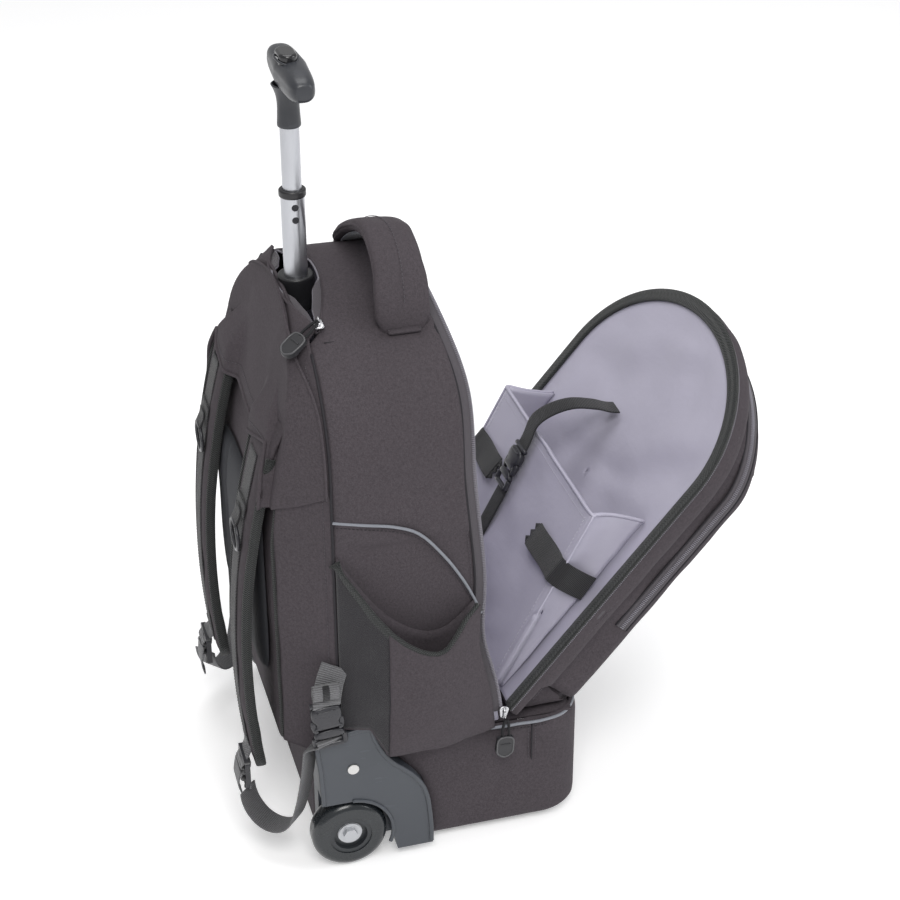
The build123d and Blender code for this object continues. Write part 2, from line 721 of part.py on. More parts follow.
def make_front_panel():
    """Padded front panel and the organiser pocket on its outside."""
    with BuildPart() as panel:
        with BuildSketch(FLAP_PLANE.offset(FLAP_FACE)):
            arch_face(FLAP_HALF, FLAP_START, FLAP_SPRING, FLAP_TOP)
        extrude(amount=FLAP_THICK)
    save(panel, "front_panel")
    start = FLAP_FACE + FLAP_THICK + 0.2
    inset = 3.0
    with BuildPart() as pocket:
        with BuildSketch(FLAP_PLANE.offset(start)):
            arch_face(POCKET_HALF, POCKET_START, FLAP_SPRING, POCKET_TOP)
        extrude(amount=POCKET_DEPTH - start)
        fillet(pocket.faces().sort_by(Axis((0, 0, 0), FLAP_PLANE.z_dir))[-1].edges(), 16)
        with BuildSketch(FLAP_PLANE.offset(start)):
            arch_face(POCKET_HALF - inset, POCKET_START + inset, FLAP_SPRING, POCKET_TOP - inset)
        cavity = extrude(amount=POCKET_DEPTH - start - 2 * inset, mode=Mode.PRIVATE)
        rim = cavity.faces().sort_by(Axis((0, 0, 0), FLAP_PLANE.z_dir))[-1].edges()
        add(cavity.fillet(14, rim), mode=Mode.SUBTRACT)
    save(pocket, "organiser_pocket")


def make_panel_bellows():
    """Soft fold of cloth between the front panel's foot and the boot."""
    out = FLAP_FACE + FLAP_THICK + 0.8
    with BuildPart() as bellows:
        with BuildSketch(side_plane(-138)):
            with BuildLine():
                Polyline(
                    flap_point(POCKET_START - 1, out),
                    flap_point(FLAP_START + 2, out),
                    (-64, BOOT_TOP_Z + 1),
                    (-116, BOOT_TOP_Z + 1),
                    flap_point(POCKET_START - 1, POCKET_DEPTH - 3),
                    close=True,
                )
            make_face()
        extrude(amount=276)
    save(bellows, "panel_bellows")


def make_laptop_sleeve():
    """Padded laptop sleeve on the inside of the front panel, open at its top."""
    face = FLAP_FACE - 1.6
    with BuildPart() as sleeve:
        with BuildSketch(side_plane(-SLEEVE_HALF)):
            with BuildLine():
                Polyline(
                    flap_point(SLEEVE_START, face),
                    flap_point(SLEEVE_START, -SLEEVE_FOOT_DEPTH),
                    flap_point(SLEEVE_MOUTH, -SLEEVE_MOUTH_DEPTH),
                    flap_point(SLEEVE_BACK, face),
                    close=True,
                )
            make_face()
        extrude(amount=2 * SLEEVE_HALF)
        with BuildSketch(side_plane(SLEEVE_WALL - SLEEVE_HALF)):
            with BuildLine():
                Polyline(
                    flap_point(SLEEVE_START + SLEEVE_WALL, face + 2),
                    flap_point(SLEEVE_START + SLEEVE_WALL, SLEEVE_WALL - SLEEVE_FOOT_DEPTH),
                    flap_point(SLEEVE_MOUTH, SLEEVE_WALL - SLEEVE_MOUTH_DEPTH),
                    flap_point(SLEEVE_BACK + 30, SLEEVE_WALL - SLEEVE_MOUTH_DEPTH - 8),
                    flap_point(SLEEVE_BACK + 30, face + 2),
                    close=True,
                )
            make_face()
        extrude(amount=2 * (SLEEVE_HALF - SLEEVE_WALL), mode=Mode.SUBTRACT)
    save(sleeve, "laptop_sleeve")


def sleeve_depth(up):
    """Depth of the sleeve's inner face at a distance up the front panel."""
    share = (up - SLEEVE_START) / (SLEEVE_MOUTH - SLEEVE_START)
    return SLEEVE_FOOT_DEPTH + share * (SLEEVE_MOUTH_DEPTH - SLEEVE_FOOT_DEPTH)


def make_sleeve_straps():
    """Hook-and-loop bands round the sleeve's sides, and the hold-down strap."""
    low, high = 118.0, 143.0
    reach = sleeve_depth(high) + 1.2
    with BuildPart() as straps:
        for sign in SIDES.values():
            edge = sign * (SLEEVE_HALF + 0.8)
            with BuildSketch(Plane(FLAP_PLANE.from_local_coords((0, low, 0)), x_dir=(1, 0, 0), z_dir=FLAP_PLANE.y_dir)):
                with BuildLine():
                    Polyline(
                        (edge, -FLAP_FACE + 2),
                        (edge, reach),
                        (edge - sign * 64, reach),
                        (edge - sign * 64, reach + 1.5),
                        (edge + sign * 1.5, reach + 1.5),
                        (edge + sign * 1.5, -FLAP_FACE + 2),
                        close=True,
                    )
                make_face()
            extrude(amount=high - low)
        with BuildSketch(side_plane(20)):
            with BuildLine() as line:
                FilletPolyline(
                    flap_point(60, -sleeve_depth(60) - 1.2),
                    flap_point(196, -sleeve_depth(196) - 1.6),
                    flap_point(236, -30),
                    flap_point(246, 0.8),
                    radius=9,
                )
            trace(line.wires(), line_width=1.6)
        extrude(amount=20)
    save(straps, "sleeve_straps")
    with BuildPart() as buckle:
        with BuildSketch(Plane(FLAP_PLANE.from_local_coords((30, 130, 0)), x_dir=(1, 0, 0), z_dir=FLAP_PLANE.y_dir)):
            with Locations((0, sleeve_depth(168) + 6)):
                RectangleRounded(30, 7, 2)
        extrude(amount=38)
    save(buckle, "hold_down_buckle")


# --- Zip sliders and pulls ----------------------------------------------------

CORD_R = 1.25
PULLS = {
    "main_left": ((-161.5, -48.0, 133.0), (0.0, 0.05, -1.0), (-1.0, 0.0, 0.0)),
    "main_right": ((161.5, -48.0, 133.0), (0.0, 0.05, -1.0), (1.0, 0.0, 0.0)),
    "slot": ((-86.0, 90.0, 505.5), (-0.30, 0.80, -0.52), (-0.35, 0.42, 0.84)),
    "pocket": ((-75.0, *flap_point(316, POCKET_DEPTH + 5.5)), (0.0, 0.0, -1.0), (0.0, -1.0, 0.0)),
}


def pull_plane(eye, along, out):
    """Plane of a pull: sketch x across it, sketch y back up towards its eye."""
    upward = -Vector(along).normalized()
    face = Vector(out) - upward * Vector(out).dot(upward)
    return Plane(origin=eye, x_dir=upward.cross(face), z_dir=face)


def cord_route(plane):
    """A pull's cord: from the eye down one side, round inside the tab, and back."""
    side = [(0.9, -1), (3.4, -11), (2.9, -21), (3.2, -31)]
    down = [plane.from_local_coords((-across, along, 0)) for across, along in side]
    back = [plane.from_local_coords((across, along, 0)) for across, along in reversed(side)]
    return down + back


def make_pull(name, eye, along, out):
    """Zip pull: a doubled cord with a moulded D-shaped tab at its end."""
    plane = pull_plane(eye, along, out)
    route = cord_route(plane)
    radii = []
    for before, corner, after in zip(route, route[1:], route[2:]):
        run_in = corner - before
        run_out = after - corner
        half_turn = radians(run_in.get_angle(run_out)) / 2
        radii.append(0.45 * min(run_in.length, run_out.length) / tan(half_turn))
    print(name, "cord radii", [round(r, 1) for r in radii])
    with BuildPart() as cord:
        with BuildLine() as line:
            FilletPolyline(*route, radius=radii)
        with BuildSketch(Plane(line.line @ 0, z_dir=line.line % 0)):
            Circle(CORD_R)
        sweep(path=line.line)
    save(cord, f"pull_cord_{name}")
    with BuildPart() as tab:
        with BuildSketch(plane.offset(-2.2)):
            with BuildLine():
                Line((-7, -20), (7, -20))
                Line((7, -20), (8.5, -33))
                ThreePointArc((8.5, -33), (0, -41), (-8.5, -33))
                Line((-8.5, -33), (-7, -20))
            make_face()
        extrude(amount=4.4)
        add(cord.part, mode=Mode.SUBTRACT)
    save(tab, f"pull_tab_{name}")


def make_sliders():
    """Metal zip sliders: two at the mouth's ends, one at the slot, one on the pocket."""
    with BuildPart() as bag_sliders:
        for sign in SIDES.values():
            with BuildSketch(side_plane(sign * 156.2)):
                with Locations((-48, 137)):
                    RectangleRounded(9, 12, 2)
            extrude(amount=sign * 3.5)
        with BuildSketch(Plane.XY.offset(498)):
            with Locations((-84, 88)):
                RectangleRounded(12, 9, 2)
        extrude(amount=3)
    save(bag_sliders, "bag_sliders")
    centre = FLAP_PLANE.from_local_coords((-75, 318, POCKET_DEPTH + 0.3))
    with BuildPart() as pocket_slider:
        with BuildSketch(Plane(centre, x_dir=(1, 0, 0), z_dir=FLAP_PLANE.z_dir)):
            RectangleRounded(9, 12, 2)
        extrude(amount=3.5)
    save(pocket_slider, "pocket_slider")


make_main_gusset()
make_frame_sheet()
make_base_board()
make_zip_tracks()
make_rear_shell()
make_yoke()
make_back_pad()
make_boot()
make_base_plate()
make_rivets()
make_axles()
make_outer_tube()
make_middle_tube()
make_top_tube()
make_grip()
make_carry_handle()
make_side_buckles()
for side, sign in SIDES.items():
    make_housing(side, sign)
    make_wheel(side, sign)
    make_shoulder_strap(side, sign)
    make_lower_webbing(side, sign)
    make_bottle_pocket(side, sign)
make_front_panel()
make_panel_bellows()
make_laptop_sleeve()
make_sleeve_straps()
make_sliders()
for name, (eye, along, out) in PULLS.items():
    make_pull(name, eye, along, out)
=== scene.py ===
"""Looks of the wheeled laptop backpack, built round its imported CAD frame.

Geometry is written in millimetres in the frame of the part and converted when a mesh
is made. Left pieces are at -X and right pieces at +X; -Y is the front.
"""

import json
from math import cos, exp, pi, radians, sin, sqrt, tan

import bpy
from mathutils import Matrix, Vector, noise


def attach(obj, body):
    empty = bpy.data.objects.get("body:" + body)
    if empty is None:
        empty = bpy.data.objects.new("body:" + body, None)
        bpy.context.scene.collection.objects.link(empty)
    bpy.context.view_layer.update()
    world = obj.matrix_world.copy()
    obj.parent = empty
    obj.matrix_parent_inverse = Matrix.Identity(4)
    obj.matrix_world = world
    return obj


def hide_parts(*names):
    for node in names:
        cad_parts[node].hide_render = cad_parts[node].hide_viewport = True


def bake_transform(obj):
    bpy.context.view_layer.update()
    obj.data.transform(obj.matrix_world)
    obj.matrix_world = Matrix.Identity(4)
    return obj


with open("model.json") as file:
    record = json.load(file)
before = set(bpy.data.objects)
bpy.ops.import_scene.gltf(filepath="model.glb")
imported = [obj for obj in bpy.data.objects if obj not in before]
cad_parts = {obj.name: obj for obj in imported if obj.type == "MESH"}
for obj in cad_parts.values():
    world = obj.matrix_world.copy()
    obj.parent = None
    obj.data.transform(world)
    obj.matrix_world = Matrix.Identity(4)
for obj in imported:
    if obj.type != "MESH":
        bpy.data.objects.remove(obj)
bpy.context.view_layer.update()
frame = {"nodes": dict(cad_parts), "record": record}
scene = bpy.context.scene
MM = 0.001
SIDES = {"left": -1, "right": 1}

# --- Camera -------------------------------------------------------------------

AZIMUTH = radians(15.85)
ELEVATION = radians(29.83)
ROLL = radians(-0.23)
TARGET = Vector((0, -0.0432, 0.3167))
DISTANCE = 1.7979


def make_camera():
    """Camera at the photograph's viewing angle."""
    data = bpy.data.cameras.new("camera")
    data.lens = 80
    data.sensor_width = 36
    camera = bpy.data.objects.new("camera", data)
    scene.collection.objects.link(camera)
    level = cos(ELEVATION)
    forward = Vector((cos(AZIMUTH) * level, -sin(AZIMUTH) * level, -sin(ELEVATION)))
    right = Vector((-sin(AZIMUTH), -cos(AZIMUTH), 0))
    up = right.cross(forward)
    turned = Matrix((right * cos(ROLL) + up * sin(ROLL), up * cos(ROLL) - right * sin(ROLL), -forward))
    camera.matrix_world = Matrix.Translation(TARGET - forward * DISTANCE) @ turned.transposed().to_4x4()
    data.clip_start = 0.05
    data.clip_end = 50
    scene.camera = camera


make_camera()

# --- Mesh helpers -------------------------------------------------------------


def blend_step(low, high, value):
    """Smooth 0 to 1 step of value between low and high."""
    share = min(1.0, max(0.0, (value - low) / (high - low)))
    return share * share * (3 - 2 * share)


def window(value, low, high, soft):
    """1 between low and high, falling smoothly to 0 over soft outside."""
    return blend_step(low - soft, low, value) * (1 - blend_step(high, high + soft, value))


def ripple(point, size, seed=0.0):
    """Seeded smooth noise of about +-0.5 with features about size across."""
    return noise.noise(Vector(point) / size + Vector((seed, seed * 1.7, seed * 0.6)))


def spread(low, high, count):
    """count + 1 even steps from low to high."""
    return [low + (high - low) * i / count for i in range(count + 1)]


def mesh_piece(name, points, faces, uvs=None):
    """Mesh object from points in millimetres; uvs are one (u, v) in metres a point."""
    mesh = bpy.data.meshes.new(name)
    mesh.from_pydata([Vector(p) * MM for p in points], [], faces)
    layer = mesh.uv_layers.new(name="UVMap")
    if uvs:
        for loop in mesh.loops:
            layer.data[loop.index].uv = uvs[loop.vertex_index]
    for face in mesh.polygons:
        face.use_smooth = True
    mesh.update()
    piece = bpy.data.objects.new(name, mesh)
    scene.collection.objects.link(piece)
    return piece


def surface(name, point, us, vs, closed=False):
    """Grid of point(u, v); closed joins the last column to the first."""
    rows = [[Vector(point(u, v)) for u in us] for v in vs]
    wide = len(us)
    middle = rows[len(rows) // 2]
    across = [0.0]
    for a, b in zip(middle, middle[1:]):
        across.append(across[-1] + (b - a).length * MM)
    along = [0.0]
    for a, b in zip(rows, rows[1:]):
        along.append(along[-1] + (b[wide // 2] - a[wide // 2]).length * MM)
    points = [p for row in rows for p in row]
    uvs = [(across[i], along[j]) for j in range(len(vs)) for i in range(wide)]
    faces = []
    for j in range(len(vs) - 1):
        for i in range(wide if closed else wide - 1):
            k = (i + 1) % wide
            faces.append((j * wide + i, j * wide + k, (j + 1) * wide + k, (j + 1) * wide + i))
    return mesh_piece(name, points, faces, uvs)


def stack(name, points, count):
    """Closed solid from rings of count points, listed from the bottom ring up."""
    rings = len(points) // count
    faces = [tuple(range(count - 1, -1, -1)), tuple((rings - 1) * count + k for k in range(count))]
    for ring in range(rings - 1):
        for k in range(count):
            m = (k + 1) % count
            faces.append((ring * count + k, ring * count + m, (ring + 1) * count + m, (ring + 1) * count + k))
    return mesh_piece(name, points, faces)


def fan(name, ring, middle):
    """Cap from a ring of points to its middle."""
    count = len(ring)
    return mesh_piece(name, [*ring, middle], [(k, (k + 1) % count, count) for k in range(count)])


def steady_sides(path, closed=False):
    """Side vectors along a path that don't twist."""
    side = None
    sides = []
    for i, point in enumerate(path):
        after = path[(i + 1) % len(path)] if closed or i < len(path) - 1 else point
        before = path[i - 1] if closed or i else point
        tangent = (after - before).normalized()
        if side is None:
            guide = Vector((0, 0, 1)) if abs(tangent.z) < 0.8 else Vector((0, 1, 0))
            side = tangent.cross(guide).normalized()
        side = (side - tangent * side.dot(tangent)).normalized()
        sides.append(side)
    return sides


def sweep(name, path, side, section, closed=False, scale=None):
    """Closed section (across, through) swept along a path; side is its across direction."""
    count, ring = len(path), len(section)
    points, uvs = [], []
    round_section = [0.0]
    for a, b in zip(section, section[1:]):
        round_section.append(round_section[-1] + (Vector(b) - Vector(a)).length * MM)
    gone = 0.0
    for i, point in enumerate(path):
        before = path[i - 1] if closed or i else point
        after = path[(i + 1) % count] if closed or i < count - 1 else point
        tangent = (after - before).normalized()
        across = side[i] if isinstance(side, list) else side
        through = tangent.cross(across).normalized()
        across = through.cross(tangent).normalized()
        wide, thick = scale(i / (count - 1)) if scale else (1.0, 1.0)
        gone += (point - path[i - 1]).length * MM if i else 0.0
        for k, (a, b) in enumerate(section):
            points.append(point + across * a * wide + through * b * thick)
            uvs.append((round_section[k], gone))
    faces = []
    for i in range(count if closed else count - 1):
        j = (i + 1) % count
        for k in range(ring):
            m = (k + 1) % ring
            faces.append((i * ring + k, i * ring + m, j * ring + m, j * ring + k))
    if not closed:
        faces.append(tuple(range(ring - 1, -1, -1)))
        faces.append(tuple((count - 1) * ring + k for k in range(ring)))
    return mesh_piece(name, points, faces, uvs)


def oval(wide, thick, power=2.0, count=16):
    """Superellipse section: power 2 is an ellipse, higher is squarer."""
    points = []
    for k in range(count):
        c, s = cos(2 * pi * k / count), sin(2 * pi * k / count)
        a = abs(c) ** (2 / power) * (1 if c >= 0 else -1)
        b = abs(s) ** (2 / power) * (1 if s >= 0 else -1)
        points.append((wide / 2 * a, thick / 2 * b))
    return points


def smooth(points, steps=8, closed=False):
    """Dense smooth path through points."""
    given = [Vector(p) for p in points]
    count = len(given)
    path = []
    for i in range(count if closed else count - 1):
        if closed:
            a, b, c, d = (given[(i + k) % count] for k in (-1, 0, 1, 2))
        else:
            a, b, c, d = (given[min(count - 1, max(0, i + k))] for k in (-1, 0, 1, 2))
        for k in range(steps):
            t = k / steps
            path.append(
                0.5 * (
                    2 * b + (c - a) * t + (
                        2 * a - 5 * b + 4 * c - d
                    ) * t * t + (3 * b - a - 3 * c + d) * t**3
                )
            )
    if not closed:
        path.append(given[-1])
    return path


def evenly(path, pitch, closed=False):
    """(point, tangent) pairs every pitch along a path."""
    line = path + [path[0]] if closed else path
    found, need = [], pitch / 2
    for a, b in zip(line, line[1:]):
        run = (b - a).length
        if run < 1e-9:
            continue
        at = need
        while at <= run:
            found.append((a + (b - a) * (at / run), (b - a) / run))
            at += pitch
        need = at - run
    return found


def chain(name, path, up, size, pitch, closed=False, lift=0.0):
    """Row of small rounded blocks along a path: zip teeth or stitches.

    size is (along, across, high); up is the direction they stand in.
    """
    points, faces = [], []
    along, across, high = (s / 2 for s in size)
    for place, tangent in evenly(path, pitch, closed):
        rise = up(place) if callable(up) else up
        sideways = tangent.cross(rise).normalized()
        rise = sideways.cross(tangent).normalized()
        base = len(points)
        for a, b, c in (
            (-1, -0.7, -1), (1, -0.7, -1), (1, 0.7, -1), (-1, 0.7, -1),
            (-1, -1, 0), (1, -1, 0), (1, 1, 0), (-1, 1, 0),
            (-0.6, -0.7, 1), (0.6, -0.7, 1), (0.6, 0.7, 1), (-0.6, 0.7, 1),
        ):
            points.append(place + tangent * a * along + sideways * b * across + rise * (c * high + lift))
        faces += [tuple(base + k for k in (3, 2, 1, 0)), tuple(base + k for k in (8, 9, 10, 11))]
        for low in (0, 4):
            for k in range(4):
                m = (k + 1) % 4
                faces.append((base + low + k, base + low + m, base + low + 4 + m, base + low + 4 + k))
    return mesh_piece(name, points, faces)


def tube(name, path, radius, closed=False, sides=10):
    """Round tube along a path."""
    return sweep(name, path, steady_sides(path, closed), oval(2 * radius, 2 * radius, 2, sides), closed)


def thicken(piece, thickness, offset=-1.0):
    """Give a surface its cloth thickness."""
    solid = piece.modifiers.new("thickness", "SOLIDIFY")
    solid.thickness = thickness * MM
    solid.offset = offset
    return piece


def soften(piece, levels=1):
    """Subdivide a piece smoothly."""
    finer = piece.modifiers.new("smooth", "SUBSURF")
    finer.levels = levels
    finer.render_levels = levels
    return piece


# --- Materials ----------------------------------------------------------------


class Look:
    """A procedural material round one Principled shader."""

    def __init__(self, name, roughness, metallic=0.0, sheen=0.0, coat=0.0, specular=0.5):
        self.material = bpy.data.materials.new(name)
        self.material.use_nodes = True
        self.tree = self.material.node_tree
        self.shader = self.tree.nodes["Principled BSDF"]
        self.shader.inputs["Roughness"].default_value = roughness
        self.shader.inputs["Metallic"].default_value = metallic
        self.shader.inputs["Sheen Weight"].default_value = sheen
        self.shader.inputs["Sheen Roughness"].default_value = 0.45
        self.shader.inputs["Coat Weight"].default_value = coat
        self.shader.inputs["Specular IOR Level"].default_value = specular

    def node(self, kind, inputs, **settings):
        made = self.tree.nodes.new(kind)
        for key, value in settings.items():
            setattr(made, key, value)
        for key, value in inputs.items():
            if isinstance(value, bpy.types.NodeSocket):
                self.tree.links.new(value, made.inputs[key])
            else:
                made.inputs[key].default_value = value
        return made

    def math(self, operation, a, b=0.0, clamp=False):
        return self.node("ShaderNodeMath", {0: a, 1: b}, operation=operation, use_clamp=clamp).outputs[0]

    def sum(self, *terms):
        """Weighted sum of (weight, socket) terms."""
        total = 0.0
        for weight, value in terms:
            total = self.math("ADD", self.math("MULTIPLY", value, weight), total)
        return total

    def where(self, kind="Object", scale=(1, 1, 1)):
        place = self.node("ShaderNodeTexCoord", {}).outputs[kind]
        return self.node("ShaderNodeMapping", {"Vector": place, "Scale": scale}).outputs[0]

    def noise(self, where, scale, detail=2.0):
        made = self.node("ShaderNodeTexNoise", {"Vector": where, "Scale": scale, "Detail": detail})
        return made.outputs["Fac"]

    def waves(self, where, periods):
        """Sines of the coordinates, with one period in millimetres for each axis."""
        parts = self.node("ShaderNodeSeparateXYZ", {0: where})
        return [
            self.math("SINE", self.math("MULTIPLY", parts.outputs[k], 2 * pi / (p * MM))) for k,
            p in enumerate(periods)
        ]

    def mix(self, factor, first, second):
        made = self.node("ShaderNodeMix", {"Factor": factor}, data_type="RGBA")
        for socket, value in ((made.inputs[6], first), (made.inputs[7], second)):
            if isinstance(value, bpy.types.NodeSocket):
                self.tree.links.new(value, socket)
            else:
                socket.default_value = (*value, 1.0)
        return made.outputs[2]

    def paint(self, colour, roughness=None, height=None, strength=0.3, distance=0.3):
        """Connect colour, roughness and a bump whose full height is distance millimetres."""
        self.tree.links.new(colour, self.shader.inputs["Base Color"])
        if roughness is not None:
            self.tree.links.new(roughness, self.shader.inputs["Roughness"])
        if height is not None:
            bump = self.node(
                "ShaderNodeBump", {"Height": height, "Strength": strength, "Distance": distance * MM}
            )
            self.tree.links.new(bump.outputs[0], self.shader.inputs["Normal"])
        return self.material


def shade(colour, factor):
    """A colour made lighter or darker."""
    return tuple(min(1.0, c * factor) for c in colour)


def woven(name, colour, period=1.0, contrast=0.45, roughness=0.88, sheen=0.10, relief=0.5, speckle=0.9):
    """Plain woven cloth: crossing yarns, yarn-to-yarn colour and slow fading."""
    look = Look(name, roughness, sheen=sheen, specular=0.25)
    look.shader.inputs["Sheen Tint"].default_value = (*shade(colour, 2.2), 1.0)
    where = look.where()
    x, y, z = look.waves(where, (period, period, period))
    weave = look.sum(
        (1.0, look.math("MULTIPLY", x, y)), (1.0, look.math("MULTIPLY", y, z)),
        (1.0, look.math("MULTIPLY", z, x))
    )
    yarn = look.noise(where, 900, 2.0)
    slub = look.noise(where, 420, 2.0)
    tone = look.noise(where, 9, 3.0)
    fine = look.sum((0.04, weave), (speckle * 1.1, yarn), (speckle * 0.8, slub), (1.0, 0.5 - speckle * 0.95))
    cloth = look.mix(
        look.math("ADD", fine, 0.0, True), shade(colour, 1 - contrast), shade(colour, 1 + contrast)
    )
    faded = look.mix(look.sum((0.45, tone)), cloth, shade(colour, 0.7))
    rough = look.sum((0.12, yarn), (1.0, roughness - 0.06))
    return look.paint(faded, rough, look.sum((0.1, weave), (1.2, yarn), (0.7, slub)), relief, 0.25)


def ribbed(name, colour, rib=1.5, chevron=False, contrast=0.35, roughness=0.6, relief=0.7):
    """Woven webbing or binding with ribs across its length, or a herringbone."""
    look = Look(name, roughness, sheen=0.15, specular=0.35)
    place = look.where("UV")
    parts = look.node("ShaderNodeSeparateXYZ", {0: place})
    along = parts.outputs[1]
    if chevron:
        zigzag = look.math("PINGPONG", parts.outputs[0], 3.0 * MM)
        along = look.math("ADD", along, zigzag)
    ribs = look.math("SINE", look.math("MULTIPLY", along, 2 * pi / (rib * MM)))
    yarns = look.math("SINE", look.math("MULTIPLY", parts.outputs[0], 2 * pi / (0.9 * MM)))
    grain = look.noise(look.where(), 700, 2.0)
    fine = look.sum((0.35, ribs), (0.08, yarns), (0.8, grain), (1.0, 0.1))
    cloth = look.mix(
        look.math("ADD", fine, 0.0, True), shade(colour, 1 - contrast), shade(colour, 1 + contrast)
    )
    return look.paint(
        cloth, look.sum((0.2, grain), (1.0, roughness - 0.1)),
        look.sum((0.8, ribs), (0.2, yarns), (0.4, grain)), relief, 0.4
    )


def satin(name, colour, roughness=0.42):
    """Smooth coated lining with a fine twill and soft creases."""
    look = Look(name, roughness, sheen=0.3, specular=0.45)
    look.shader.inputs["Sheen Tint"].default_value = (*shade(colour, 1.3), 1.0)
    where = look.where()
    x, y, z = look.waves(where, (0.8, 0.8, 0.8))
    twill = look.sum(
        (0.5, look.math("MULTIPLY", x, y)), (0.5, look.math("MULTIPLY", y, z)),
        (0.5, look.math("MULTIPLY", z, x))
    )
    crease = look.noise(look.where("Object", (1, 1, 2.2)), 26, 4.0)
    tone = look.noise(where, 7, 2.0)
    cloth = look.mix(look.sum((0.5, tone), (0.1, twill)), shade(colour, 1.06), shade(colour, 0.86))
    return look.paint(
        cloth, look.sum((0.25, crease), (1.0, roughness - 0.12)), look.sum((0.04, twill), (2.2, crease)),
        0.35, 1.2
    )


def net(name, colour, cell=2.6):
    """Knitted mesh cloth whose small holes are painted near black as shade, and sunk in the bump."""
    look = Look(name, 0.8, sheen=0.2, specular=0.3)
    x, y, _ = look.waves(look.where("UV"), (cell, cell * 1.2, 1000))
    cells = look.math("MULTIPLY", x, y)
    grain = look.noise(look.where(), 900, 2.0)
    hole = look.math("GREATER_THAN", cells, 0.45)
    other = look.math("LESS_THAN", cells, -0.45)
    shaded_holes = look.math("ADD", hole, other, True)
    threads = look.mix(grain, shade(colour, 0.7), shade(colour, 1.5))
    # Painted shade: the holes get a near-black colour for the shade seen through them; the same mask sinks
    # them in the bump.
    return look.paint(
        look.mix(shaded_holes, threads, shade(colour, 0.22)), None,
        look.sum((-1.0, shaded_holes), (0.4, grain)), 0.8, 0.6
    )


def moulded(name, colour, roughness=0.42, grain_scale=650, relief=0.25, coat=0.0):
    """Moulded plastic or rubber: fine spark texture, faint scuffs and dust."""
    look = Look(name, roughness, coat=coat, specular=0.5)
    where = look.where()
    grain = look.noise(where, grain_scale, 3.0)
    scuff = look.noise(look.where("Object", (1, 1, 5)), 40, 5.0)
    tone = look.noise(where, 11, 2.0)
    paint = look.mix(look.sum((0.5, tone), (0.15, grain)), shade(colour, 1.1), shade(colour, 0.8))
    worn = look.mix(
        look.math("MULTIPLY", look.math("GREATER_THAN", scuff, 0.66), 0.18), paint, shade(colour, 2.2)
    )
    rough = look.sum((0.22, scuff), (0.1, grain), (1.0, roughness - 0.16))
    return look.paint(worn, rough, look.sum((1.0, grain), (0.3, scuff)), relief, 0.15)


def metal(name, colour, roughness=0.25, grain=(30, 30, 1), relief=0.1):
    """Metal with a drawn or brushed grain and faint smudges."""
    look = Look(name, roughness, metallic=1.0)
    brush = look.noise(look.where("Object", grain), 60, 4.0)
    smudge = look.noise(look.where(), 18, 3.0)
    paint = look.mix(look.sum((0.5, brush), (0.3, smudge)), shade(colour, 1.04), shade(colour, 0.88))
    rough = look.sum((0.14, brush), (0.16, smudge), (1.0, roughness - 0.14))
    return look.paint(paint, rough, brush, relief, 0.05)


